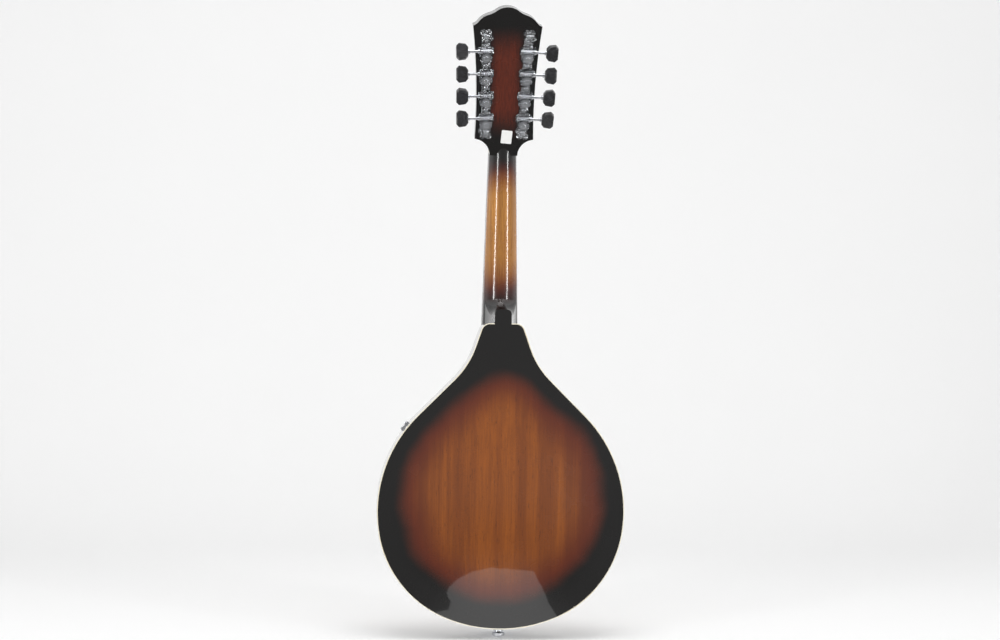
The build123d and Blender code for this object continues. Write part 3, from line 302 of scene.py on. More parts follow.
def use(tree, name, **inputs):
    """Places a shared effect with its values, and gives its outputs."""
    made = tree.nodes.new("ShaderNodeGroup")
    made.node_tree = bpy.data.node_groups[name]
    for key, value in inputs.items():
        socket = made.inputs[key.replace("_", " ").capitalize()]
        if isinstance(value, bpy.types.NodeSocket):
            tree.links.new(value, socket)
        else:
            socket.default_value = value
    return made.outputs


def finish_material(name, **settings):
    """A new material: its tree, its shader and its object coordinates."""
    material = bpy.data.materials.new(name)
    material.use_nodes = True
    tree = material.node_tree
    shader = tree.nodes["Principled BSDF"]
    for key, value in settings.items():
        shader.inputs[key.replace("_", " ").title().replace("Ior", "IOR")].default_value = value
    where = put(tree, "TexCoord").outputs["Object"]
    return material, tree, shader, where


def relief(tree, shader, height, depth):
    """Makes a height pattern show as relief of that depth, in metres."""
    bump = put(tree, "Bump", {"Height": height, "Distance": depth, "Strength": 1.0})
    tree.links.new(bump.outputs["Normal"], shader.inputs["Normal"])


def dress(material, *names):
    """Gives a finish to parts of the mandolin."""
    for name in names:
        part = nodes_of_frame[name]
        if not part.material_slots:
            part.data.materials.append(material)
        for held in part.material_slots:
            held.material = material


def on_each_side(pattern):
    """The names of the eight like parts of the tuners."""
    return [pattern % (side, number) for side in (BASS, TREBLE) for number in range(1, 5)]


# ---------------------------------------------------------------- shared effects


def make_shared_effects():
    """Builds the node groups that the finishes share: grain, burst, polish and metal."""
    if "Wood Grain" in bpy.data.node_groups:
        return
    # Grain runs up the mandolin, with ribbons, fibres and short dark pores
    tree, given, out = group(
        "Wood Grain",
        [
            ("Vector", "Vector", None),
            ("Ribbon width", "Float", 0.012),
            ("Fibre width", "Float", 0.0012),
            ("Pore width", "Float", 0.0005),
            ("Wander", "Float", 0.004),
],
        [("Ribbon", "Float"), ("Fibre", "Float"), ("Pore", "Float")],
    )
    drift = put(
        tree,
        "TexNoise",
        {"Vector": stretched(tree, given["Vector"], (6, 6, 4)), "Scale": 1.0, "Detail": 2.0},
).outputs["Fac"]
    parts = put(tree, "SeparateXYZ", {0: given["Vector"]}).outputs
    moved = sum_of(tree, "MULTIPLY_ADD", drift, given["Wander"], parts["X"])
    for label, along, detail, low, high in (
        ("Ribbon", 2.2, 3.0, 0.36, 0.64), ("Fibre", 14.0, 4.0, 0.3, 0.7), ("Pore", 90.0, 2.0, 0.62, 0.72)
):
        across = sum_of(tree, "DIVIDE", moved, given[label + " width"])
        deep = sum_of(tree, "DIVIDE", parts["Y"], given[label + " width"])
        place = put(
            tree,
            "CombineXYZ",
            {
                "X": across,
                "Y": sum_of(tree, "MULTIPLY", deep, 0.4),
                "Z": sum_of(tree, "MULTIPLY", parts["Z"], along),
},
).outputs[0]
        noise = put(
            tree, "TexNoise", {"Vector": place, "Scale": 1.0, "Detail": detail, "Roughness": 0.55}
).outputs["Fac"]
        tree.links.new(ease(tree, noise, low, high), out[label])

    # How far a point is outside a teardrop with a wide lower end and a narrow upper one
    tree, given, out = group(
        "Burst Distance",
        [
            ("Vector", "Vector", None),
            ("Lower centre", "Float", -0.355),
            ("Lower radius", "Float", 0.094),
            ("Upper centre", "Float", -0.272),
            ("Upper radius", "Float", 0.033),
],
        [("Distance", "Float")],
    )
    parts = put(tree, "SeparateXYZ", {0: given["Vector"]}).outputs
    across = sum_of(tree, "ABSOLUTE", parts["X"])
    above = sum_of(tree, "SUBTRACT", parts["Z"], given["Lower centre"])
    span = sum_of(tree, "SUBTRACT", given["Upper centre"], given["Lower centre"])
    slope = sum_of(
        tree, "DIVIDE", sum_of(tree, "SUBTRACT", given["Lower radius"], given["Upper radius"]), span
)
    flat = sum_of(tree, "SQRT", sum_of(tree, "SUBTRACT", 1.0, sum_of(tree, "MULTIPLY", slope, slope)))
    along = sum_of(
        tree, "SUBTRACT", sum_of(tree, "MULTIPLY", above, flat), sum_of(tree, "MULTIPLY", across, slope)
)
    side = sum_of(
        tree,
        "SUBTRACT",
        sum_of(tree, "MULTIPLY_ADD", above, slope, sum_of(tree, "MULTIPLY", across, flat)),
        given["Lower radius"],
)

    def ring(height, radius):
        reach = sum_of(
            tree,
            "SQRT",
            sum_of(tree, "MULTIPLY_ADD", height, height, sum_of(tree, "MULTIPLY", across, across)),
)
        return sum_of(tree, "SUBTRACT", reach, radius)

    low_end = ring(above, given["Lower radius"])
    high_end = ring(sum_of(tree, "SUBTRACT", above, span), given["Upper radius"])
    is_low = sum_of(tree, "LESS_THAN", along, 0.0)
    is_high = sum_of(tree, "GREATER_THAN", along, sum_of(tree, "MULTIPLY", flat, span))
    straight = put(tree, "Mix", {0: is_high, 2: side, 3: high_end}).outputs[0]
    tree.links.new(put(tree, "Mix", {0: is_low, 2: straight, 3: low_end}).outputs[0], out["Distance"])

    # Lacquer that has been polished and handled
    tree, given, out = group(
        "Polish",
        [("Vector", "Vector", None), ("Roughness", "Float", 0.06), ("Smears", "Float", 0.05)],
        [("Roughness", "Float"), ("Height", "Float")],
)
    smear = put(
        tree, "TexNoise", {"Vector": given["Vector"], "Scale": 38.0, "Detail": 5.0, "Distortion": 0.6}
).outputs["Fac"]
    smeared = sum_of(tree, "MULTIPLY", ease(tree, smear, 0.45, 0.75), given["Smears"])
    tree.links.new(sum_of(tree, "ADD", smeared, given["Roughness"]), out["Roughness"])
    tree.links.new(
        put(tree, "TexNoise", {"Vector": given["Vector"], "Scale": 160.0, "Detail": 2.0}).outputs["Fac"],
        out["Height"],
)

    # Plated and bare metal: faint cloudiness, scratches along it, and fine pits
    tree, given, out = group(
        "Metal Skin",
        [("Vector", "Vector", None), ("Roughness", "Float", 0.12), ("Scratches", "Float", 0.1)],
        [("Cloud", "Float"), ("Roughness", "Float"), ("Height", "Float")],
)
    cloud = put(tree, "TexNoise", {"Vector": given["Vector"], "Scale": 220.0, "Detail": 4.0}).outputs["Fac"]
    line = put(
        tree,
        "TexNoise",
        {"Vector": stretched(tree, given["Vector"], (5200, 5200, 160)), "Scale": 1.0, "Detail": 2.0},
).outputs["Fac"]
    pit = put(tree, "TexNoise", {"Vector": given["Vector"], "Scale": 1900.0, "Detail": 2.0}).outputs["Fac"]
    tree.links.new(ease(tree, cloud, 0.35, 0.75), out["Cloud"])
    worn = sum_of(
        tree, "MULTIPLY", sum_of(tree, "MULTIPLY", line, ease(tree, cloud, 0.3, 0.7)), given["Scratches"]
)
    tree.links.new(sum_of(tree, "ADD", worn, given["Roughness"]), out["Roughness"])
    tree.links.new(sum_of(tree, "MULTIPLY_ADD", line, 0.5, pit), out["Height"])


def lacquered(name, smears=0.04):
    """Glossy lacquer: a clear coat over coloured wood, slightly handled."""
    material, tree, shader, where = finish_material(
        name, roughness=0.32, coat_weight=1.0, coat_roughness=0.035, ior=1.5, specular_ior_level=0.25
)
    polish = use(tree, "Polish", Vector=where, Roughness=0.26, Smears=smears)
    tree.links.new(polish["Roughness"], shader.inputs["Roughness"])
    return material, tree, shader, where


def burst_finish(name, middle, ribbon, ring_stops, ribbon_width, fibre_width, pores, wander):
    """Wood under a burst that darkens from a teardrop in the middle to a black edge."""
    burst = bpy.context.scene.mandolin_burst
    material, tree, shader, where = lacquered(name)
    grain = use(
        tree, "Wood Grain", Vector=where, Ribbon_width=ribbon_width, Fibre_width=fibre_width, Wander=wander
)
    wood = blend_colours(tree, sum_of(tree, "MULTIPLY", grain["Ribbon"], 0.75), middle, ribbon)
    wood = blend_colours(
        tree, sum_of(tree, "MULTIPLY", grain["Fibre"], 0.4), wood, [c * 0.62 for c in ribbon]
)
    wood = blend_colours(
        tree, sum_of(tree, "MULTIPLY", grain["Pore"], pores), wood, [c * 0.25 for c in ribbon]
)
    away = use(
        tree,
        "Burst Distance",
        Vector=where,
        Lower_centre=burst.lower_centre,
        Lower_radius=burst.lower_radius,
        Upper_centre=burst.upper_centre,
        Upper_radius=burst.upper_radius,
)["Distance"]
    uneven = put(tree, "TexNoise", {"Vector": where, "Scale": 14.0, "Detail": 3.0}).outputs["Fac"]
    spray = sum_of(tree, "MULTIPLY_ADD", sum_of(tree, "SUBTRACT", uneven, 0.5), 0.02, away)
    to_russet = ease(tree, spray, ring_stops[0], ring_stops[1])
    to_soot = ease(tree, spray, ring_stops[1] - 0.006, ring_stops[2])
    colour = blend_colours(
        tree,
        sum_of(tree, "MULTIPLY", to_russet, 0.9),
        wood,
        blend_colours(tree, 0.35, burst.russet, wood, "MULTIPLY"),
)
    colour = blend_colours(tree, to_soot, colour, burst.soot)
    tree.links.new(colour, shader.inputs["Base Color"])
    relief(tree, shader, grain["Fibre"], 0.00001)
    return material


class MANDOLIN_OT_back(Operator):
    """Finishes the two-piece mahogany back and the ribs"""

    bl_idname = "mandolin.back"
    bl_label = "Back and Ribs"

    def execute(self, context):
        make_shared_effects()
        burst = context.scene.mandolin_burst
        dress(
            burst_finish(
                "mahogany back",
                burst.amber,
                burst.ribbon,
                (-0.03, 0.004, 0.018),
                0.011,
                0.0011,
                0.75,
                0.006,
),
            "back_bass",
            "back_treble",
)
        material, tree, shader, where = lacquered("mahogany ribs")
        grain = use(tree, "Wood Grain", Vector=where, Ribbon_width=0.009, Fibre_width=0.001, Wander=0.003)
        wood = blend_colours(tree, grain["Fibre"], burst.russet, burst.soot)
        drift = put(tree, "TexNoise", {"Vector": where, "Scale": 9.0, "Detail": 3.0}).outputs["Fac"]
        tree.links.new(
            blend_colours(tree, ease(tree, drift, 0.25, 0.6, 0.72, 1.0), wood, burst.soot),
            shader.inputs["Base Color"],
)
        relief(tree, shader, grain["Fibre"], 0.00001)
        dress(material, "ribs")
        return {"FINISHED"}


class MANDOLIN_OT_top(Operator):
    """Finishes the carved spruce top"""

    bl_idname = "mandolin.top"
    bl_label = "Top"

    def execute(self, context):
        burst = context.scene.mandolin_burst
        dress(
            burst_finish(
                "spruce top",
                burst.spruce,
                [c * 0.72 for c in burst.spruce],
                (-0.028, 0.006, 0.02),
                0.02,
                0.0009,
                0.0,
                0.002,
),
            "soundboard",
)
        return {"FINISHED"}


class MANDOLIN_OT_neck(Operator):
    """Finishes the neck, with a bright middle, and the dark headstock and its face"""

    bl_idname = "mandolin.neck"
    bl_label = "Neck and Headstock"

    def execute(self, context):
        burst, trim = context.scene.mandolin_burst, context.scene.mandolin_trim
        material, tree, shader, where = lacquered("neck lacquer", smears=0.07)
        grain = use(tree, "Wood Grain", Vector=where, Ribbon_width=0.008, Fibre_width=0.001, Wander=0.003)
        parts = put(tree, "SeparateXYZ", {0: where}).outputs
        across = sum_of(tree, "ABSOLUTE", parts["X"])
        uneven = put(tree, "TexNoise", {"Vector": where, "Scale": 22.0, "Detail": 3.0}).outputs["Fac"]
        height = sum_of(tree, "MULTIPLY_ADD", sum_of(tree, "SUBTRACT", uneven, 0.5), 0.02, parts["Z"])
        wood = blend_colours(tree, grain["Ribbon"], burst.honey, [c * 0.62 for c in burst.honey])
        wood = blend_colours(tree, sum_of(tree, "MULTIPLY", grain["Fibre"], 0.45), wood, burst.ribbon)
        wood = blend_colours(
            tree, sum_of(tree, "MULTIPLY", grain["Pore"], 0.6), wood, [c * 0.3 for c in burst.ribbon]
)
        bright = sum_of(
            tree,
            "MULTIPLY",
            ease(tree, height, -0.012, -0.05, 0, 1),
            ease(tree, height, -0.145, -0.105, 0, 1),
)
        warm = sum_of(
            tree,
            "MULTIPLY",
            ease(tree, height, -0.002, -0.03, 0, 1),
            ease(tree, height, -0.158, -0.125, 0, 1),
)
        glow = sum_of(
            tree, "MULTIPLY", ease(tree, height, 0.012, 0.045, 0, 1), ease(tree, height, 0.125, 0.092, 0, 1)
)
        glow = sum_of(tree, "MULTIPLY", glow, ease(tree, across, 0.021, 0.007, 0, 0.8))
        red = blend_colours(
            tree,
            sum_of(tree, "MULTIPLY", grain["Fibre"], 0.6),
            [c * 1.15 for c in burst.russet],
            [c * 0.5 for c in burst.russet],
)
        colour = blend_colours(tree, sum_of(tree, "MAXIMUM", glow, warm), burst.soot, red)
        colour = blend_colours(tree, bright, colour, wood)
        tree.links.new(colour, shader.inputs["Base Color"])
        relief(tree, shader, grain["Fibre"], 0.000003)
        dress(material, "neck")

        material, tree, shader, where = lacquered("headstock face", smears=0.08)
        mottled = put(tree, "TexNoise", {"Vector": where, "Scale": 70.0, "Detail": 4.0}).outputs["Fac"]
        tree.links.new(
            blend_colours(tree, mottled, trim.black, [c * 0.5 for c in trim.black]),
            shader.inputs["Base Color"],
)
        dress(material, "headstock_veneer")
        return {"FINISHED"}


class MANDOLIN_OT_inner_wood(Operator):
    """Finishes the bare blocks, linings and bars inside the body"""

    bl_idname = "mandolin.inner_wood"
    bl_label = "Inner Wood"

    def execute(self, context):
        burst = context.scene.mandolin_burst
        material, tree, shader, where = finish_material("bare inner wood", roughness=0.7)
        grain = use(tree, "Wood Grain", Vector=where, Ribbon_width=0.01, Fibre_width=0.0012)
        wood = blend_colours(tree, grain["Ribbon"], burst.bare_wood, [c * 0.7 for c in burst.bare_wood])
        tree.links.new(
            blend_colours(tree, sum_of(tree, "MULTIPLY", grain["Fibre"], 0.4), wood, burst.ribbon),
            shader.inputs["Base Color"],
)
        relief(tree, shader, grain["Fibre"], 0.00004)
        dress(material, "linings", "neck_block", "tail_block", "tone_bars")
        return {"FINISHED"}


class MANDOLIN_OT_fingerboard(Operator):
    """Finishes the rosewood fingerboard and bridge, the frets, the dots and the nut"""

    bl_idname = "mandolin.fingerboard"
    bl_label = "Fingerboard and Bridge"

    def execute(self, context):
        trim = context.scene.mandolin_trim
        material, tree, shader, where = finish_material("oiled rosewood", roughness=0.45)
        grain = use(
            tree, "Wood Grain", Vector=where, Ribbon_width=0.005, Fibre_width=0.0008, Pore_width=0.0004
)
        wood = blend_colours(tree, grain["Ribbon"], trim.rosewood, [c * 0.45 for c in trim.rosewood])
        wood = blend_colours(
            tree, sum_of(tree, "MULTIPLY", grain["Pore"], 0.8), wood, [c * 0.15 for c in trim.rosewood]
)
        tree.links.new(wood, shader.inputs["Base Color"])
        tree.links.new(ease(tree, grain["Fibre"], 0, 1, 0.36, 0.55), shader.inputs["Roughness"])
        relief(tree, shader, sum_of(tree, "SUBTRACT", grain["Fibre"], grain["Pore"]), 0.00006)
        dress(material, "fretboard", "bridge_base", "saddle")

        material, tree, shader, where = finish_material(
            "pearl dots", roughness=0.2, coat_weight=0.4, coat_roughness=0.1
)
        sheen = put(
            tree,
            "TexNoise",
            {
                "Vector": stretched(tree, where, (300, 300, 700)),
                "Scale": 1.0,
                "Detail": 3.0,
                "Distortion": 1.5,
},
).outputs["Fac"]
        tree.links.new(
            bands(
                tree,
                sheen,
                ((0.3, shade(196, 214, 212)), (0.5, shade(236, 232, 226)), (0.7, shade(222, 204, 214))),
),
            shader.inputs["Base Color"],
)
        relief(tree, shader, sheen, 0.00002)
        dress(material, "fret_markers")

        material, tree, shader, where = finish_material(
            "polished bone", roughness=0.35, subsurface_weight=0.05
)
        streak = put(
            tree,
            "TexNoise",
            {"Vector": stretched(tree, where, (120, 900, 900)), "Scale": 1.0, "Detail": 4.0},
).outputs["Fac"]
        tree.links.new(
            blend_colours(tree, ease(tree, streak, 0.5, 0.72), trim.bone, [c * 0.8 for c in trim.bone]),
            shader.inputs["Base Color"],
)
        tree.links.new(ease(tree, streak, 0.3, 0.7, 0.28, 0.42), shader.inputs["Roughness"])
        relief(tree, shader, streak, 0.00002)
        dress(material, "nut")
        return {"FINISHED"}


class MANDOLIN_OT_binding(Operator):
    """Finishes the white bindings round the body"""

    bl_idname = "mandolin.binding"
    bl_label = "Bindings"

    def execute(self, context):
        trim = context.scene.mandolin_trim
        material, tree, shader, where = finish_material(
            "white binding", roughness=0.3, coat_weight=1.0, coat_roughness=0.05
)
        aged = put(tree, "TexNoise", {"Vector": where, "Scale": 45.0, "Detail": 4.0}).outputs["Fac"]
        tree.links.new(
            blend_colours(
                tree,
                ease(tree, aged, 0.4, 0.8, 0, 0.6),
                trim.binding,
                [c * f for c, f in zip(trim.binding, (0.9, 0.82, 0.66))],
),
            shader.inputs["Base Color"],
)
        polish = use(tree, "Polish", Vector=where, Roughness=0.25, Smears=0.08)
        tree.links.new(polish["Roughness"], shader.inputs["Roughness"])
        relief(tree, shader, polish["Height"], 0.00002)
        dress(material, "top_binding", "back_binding")
        return {"FINISHED"}


def plated(name, colour, dull, roughness, scratches, depth):
    """A metal with clouds, scratches and pits in it."""
    material, tree, shader, where = finish_material(name, metallic=1.0)
    skin = use(tree, "Metal Skin", Vector=where, Roughness=roughness, Scratches=scratches)
    tree.links.new(
        blend_colours(
            tree,
            sum_of(tree, "MULTIPLY", skin["Cloud"], 0.35),
            colour,
            [c * f for c, f in zip(colour, dull)],
),
        shader.inputs["Base Color"],
)
    tree.links.new(skin["Roughness"], shader.inputs["Roughness"])
    relief(tree, shader, skin["Height"], depth)
    return material, tree, shader, where, skin


class MANDOLIN_OT_metal(Operator):
    """Finishes the chromed tuner plates, worms, posts and tailpiece, the screws, frets and brass"""

    bl_idname = "mandolin.metal"
    bl_label = "Metal Parts"

    def execute(self, context):
        trim = context.scene.mandolin_trim
        chrome = plated("chrome", trim.chrome, (0.72, 0.72, 0.74), 0.09, 0.16, 0.000006)[0]
        dress(
            chrome,
            "tailpiece_base",
            "tailpiece_cover",
            "strap_button",
            "pickguard_bracket",
            "post_bushings",
            "wood_screws",
            "tuner_screws",
            *on_each_side("worm_shaft_%s_%d"),
            *on_each_side("string_post_%s_%d"),
)
        # The plates have a stamped leaf pattern, and its recesses are painted near black as shade
        material, tree, shader, where, skin = plated(
            "stamped tuner plate", trim.chrome, (0.6, 0.6, 0.62), 0.13, 0.2, 0.000006
)
        leaf = put(
            tree, "TexVoronoi", {"Vector": where, "Scale": 420.0}, feature="DISTANCE_TO_EDGE"
).outputs["Distance"]
        raised = ease(tree, leaf, 0.06, 0.24)
        relief(tree, shader, sum_of(tree, "MULTIPLY_ADD", skin["Height"], 0.05, raised), 0.00018)
        # painted shade: the recesses of the stamped pattern are darkened to near black chrome
        painted_hollow_shade = blend_colours(tree, raised, [c * 0.07 for c in trim.chrome], trim.chrome)
        tree.links.new(
            blend_colours(
                tree, sum_of(tree, "MULTIPLY", skin["Cloud"], 0.5), painted_hollow_shade, [c * 0.7 for c in trim.chrome]
),
            shader.inputs["Base Color"],
)
        dress(material, "tuner_plate_bass", "tuner_plate_treble")
        dress(plated("nickel frets", trim.nickel, (0.7, 0.68, 0.62), 0.16, 0.2, 0.00001)[0], "frets")
        dress(
            plated(
                "truss rod steel", [c * 0.6 for c in trim.nickel], (0.6, 0.5, 0.42), 0.35, 0.2, 0.00002
)[0],
            "truss_rod",
)
        dress(
            plated("brass", trim.brass, (0.7, 0.62, 0.5), 0.2, 0.25, 0.00001)[0],
            "truss_rod_nut",
            "bridge_studs",
            "thumbwheel_bass",
            "thumbwheel_treble",
)
        return {"FINISHED"}


class MANDOLIN_OT_strings(Operator):
    """Finishes the plain and wound strings"""

    bl_idname = "mandolin.strings"
    bl_label = "Strings"

    def execute(self, context):
        trim = context.scene.mandolin_trim
        dress(
            plated("plain steel string", trim.nickel, (0.75, 0.74, 0.7), 0.2, 0.15, 0.000002)[0],
            "plain_strings",
)
        material, tree, shader, where, skin = plated(
            "bronze wound string", trim.bronze, (0.7, 0.62, 0.55), 0.28, 0.15, 0.000002
)
        wraps = put(
            tree,
            "TexWave",
            {"Vector": where, "Scale": 900.0, "Distortion": 0.0},
            wave_type="BANDS",
            bands_direction="Z",
).outputs["Fac"]
        relief(tree, shader, wraps, 0.00005)
        # painted shade: the grooves between the wraps of the winding are darkened
        painted_wrap_shade = blend_colours(tree, wraps, [c * 0.45 for c in trim.bronze], trim.bronze)
        tree.links.new(painted_wrap_shade, shader.inputs["Base Color"])
        dress(material, "wound_strings")
        return {"FINISHED"}


class MANDOLIN_OT_plastic(Operator):
    """Finishes the pickguard, the truss rod cover and the tuner buttons"""

    bl_idname = "mandolin.plastic"
    bl_label = "Plastic Parts"

    def execute(self, context):
        trim = context.scene.mandolin_trim
        for name, colour, roughness, smears, parts in (
            ("black plastic", trim.black, 0.16, 0.2, ["pickguard", "truss_rod_cover"]),
            ("tuner button plastic", trim.button, 0.2, 0.18, on_each_side("tuner_button_%s_%d")),
        ):
            material, tree, shader, where = finish_material(name, coat_weight=0.3, coat_roughness=0.1)
            polish = use(tree, "Polish", Vector=where, Roughness=roughness, Smears=smears)
            swirl = put(
                tree, "TexNoise", {"Vector": where, "Scale": 160.0, "Detail": 4.0, "Distortion": 1.0}
).outputs["Fac"]
            tree.links.new(
                blend_colours(tree, ease(tree, swirl, 0.35, 0.7), colour, [c * 1.7 for c in colour]),
                shader.inputs["Base Color"],
)
            tree.links.new(polish["Roughness"], shader.inputs["Roughness"])
            relief(tree, shader, polish["Height"], 0.00003)
            dress(material, *parts)
        return {"FINISHED"}


# ---------------------------------------------------------------- new pieces


STRAND_SIDES, STEPS_A_TURN = 10, 26
TURN_GAP, TURN_BITE = 0.04, 0.08    # of a string's radius: between turns, and into the post
STICKER_CORNER = 1.0 * MM
STICKER_GLUE = 0.02 * MM


def start_piece(name, add, **settings):
    """Adds one primitive with nothing else selected, and names it."""
    bpy.ops.object.select_all(action="DESELECT")
    add(**settings)
    piece = bpy.context.object
    piece.name = name
    piece.data.name = name
    return piece


def settle(piece, material, body, place):
    """Moves a finished piece's mesh to its place, with the object at the origin, and lets it ride."""
    piece.data.transform(place)
    piece.data.update()
    piece.data.materials.clear()
    piece.data.materials.append(material)
    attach(piece, body)


def post_places():
    """Each post's side, number, foot on the headstock face, string radius and whether it is wound."""
    radii = (0.485, 0.485, 0.305, 0.305, 0.178, 0.178, 0.127, 0.127)
    order = [(BASS, n) for n in (4, 3, 2, 1)] + [(TREBLE, n) for n in (1, 2, 3, 4)]
    for (side, number), radius in zip(order, radii):
        low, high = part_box(f"string_post_{side}_{number}")
        middle = (Vector(low) + Vector(high)) / 2
        along = (middle - HEAD_FOOT).dot(HEAD_UP)
        foot = Vector((middle.x, 0, 0)) + Vector((0, HEAD_FOOT.y, HEAD_FOOT.z)) + HEAD_UP * along
        yield side, number, foot, radius * MM, radius > 0.2


class MANDOLIN_OT_windings(Operator):
    """Winds the end of each string round its post"""

    bl_idname = "mandolin.windings"
    bl_label = "String Windings"

    def execute(self, context):
        turns_of = context.scene.mandolin_windings
        trim = context.scene.mandolin_trim
        finishes = {}
        for wound, colour, rough in ((True, trim.bronze, 0.3), (False, trim.nickel, 0.2)):
            finishes[wound] = plated(
                "wound turns" if wound else "plain turns", colour, (0.7, 0.64, 0.58), rough, 0.2, 0.000004
)[0]
        for side, number, foot, radius, wound in post_places():
            turns = turns_of.wound_turns if wound else turns_of.plain_turns
            climb = min(2 * (1 + TURN_GAP) * radius * turns, turns_of.high - turns_of.low - 2 * radius)
            reach = turns_of.post_radius + radius * (1 - TURN_BITE)
            piece = start_piece(
                f"winding_{side}_{number}",
                bpy.ops.mesh.primitive_circle_add,
                vertices=STRAND_SIDES,
                radius=radius,
                location=(reach, 0, turns_of.low + radius),
                rotation=(math.pi / 2, 0, 0),
)
            bpy.ops.object.transform_apply(location=True, rotation=True, scale=True)
            screw = piece.modifiers.new("turns", "SCREW")
            hand = 1 if side == BASS else -1
            screw.angle, screw.screw_offset = hand * 2 * math.pi * turns, climb
            screw.steps = screw.render_steps = STEPS_A_TURN * turns
            bpy.ops.object.modifier_apply(modifier="turns")
            bpy.ops.object.mode_set(mode="EDIT")
            bpy.ops.mesh.select_all(action="SELECT")
            bpy.ops.mesh.remove_doubles(threshold=1e-6)
            bpy.ops.mesh.select_all(action="DESELECT")
            bpy.ops.mesh.select_mode(type="EDGE")
            bpy.ops.mesh.select_non_manifold()
            bpy.ops.mesh.fill_holes(sides=0)
            bpy.ops.mesh.select_all(action="SELECT")
            bpy.ops.mesh.normals_make_consistent(inside=False)
            bpy.ops.object.mode_set(mode="OBJECT")
            bpy.ops.object.shade_smooth()
            out = -HEAD_BACK
            sideways = Vector((1, 0, 0))
            turn = Matrix((sideways, out.cross(sideways), out)).transposed().to_4x4()
            settle(piece, finishes[wound], f"post_{side}_{number}", Matrix.Translation(foot) @ turn)
        return {"FINISHED"}


class MANDOLIN_OT_label(Operator):
    """Sticks the blank sticker on the back of the headstock"""

    bl_idname = "mandolin.label"
    bl_label = "Blank Sticker"

    def execute(self, context):
        label = context.scene.mandolin_label
        piece = start_piece("blank_sticker", bpy.ops.mesh.primitive_plane_add, size=1, location=(0, 0, 0))
        bpy.ops.object.mode_set(mode="EDIT")
        bpy.ops.mesh.select_all(action="SELECT")
        bpy.ops.transform.resize(value=(label.width, label.height, 1))
        bpy.ops.mesh.bevel(offset=STICKER_CORNER, segments=5, affect="VERTICES", clamp_overlap=True)
        bpy.ops.mesh.select_all(action="SELECT")
        bpy.ops.mesh.extrude_region_move(TRANSFORM_OT_translate={"value": (0, 0, label.thickness)})
        bpy.ops.mesh.select_all(action="SELECT")
        bpy.ops.mesh.normals_make_consistent(inside=False)
        bpy.ops.object.mode_set(mode="OBJECT")
        material, tree, shader, where = finish_material("blank sticker paper", roughness=0.55)
        fibre = put(tree, "TexNoise", {"Vector": where, "Scale": 2600.0, "Detail": 4.0}).outputs["Fac"]
        grubby = put(tree, "TexNoise", {"Vector": where, "Scale": 160.0, "Detail": 3.0}).outputs["Fac"]
        tree.links.new(
            blend_colours(
                tree, ease(tree, grubby, 0.5, 0.8, 0, 0.35), label.paper, [c * 0.86 for c in label.paper]
),
            shader.inputs["Base Color"],
)
        tree.links.new(ease(tree, fibre, 0.3, 0.7, 0.45, 0.65), shader.inputs["Roughness"])
        relief(tree, shader, fibre, 0.00002)
        sideways = Vector((1, 0, 0))
        turn = Matrix((sideways, HEAD_BACK.cross(sideways), HEAD_BACK)).transposed().to_4x4()
        spot = HEAD_FOOT + sideways * label.across + HEAD_UP * label.up + HEAD_BACK * (
            HEAD_THICKNESS - STICKER_GLUE
)
        settle(
            piece,
            material,
            "instrument",
            Matrix.Translation(spot) @ turn @ Matrix.Rotation(-label.lean, 4, "Z"),
)
        return {"FINISHED"}


# ---------------------------------------------------------------- stage

FLOOR_GAP = 2 * MM
PAPER_WIDTH, PAPER_FLOOR, PAPER_WALL = 9, 0.95, 3.2
PAPER_SHIFT = 0.42
BEND_STEPS, BEND_STEP = 10, 0.11
CARD_SIZE = (0.14, 0.2)
CARD_PLACE = (0.008, -0.155)

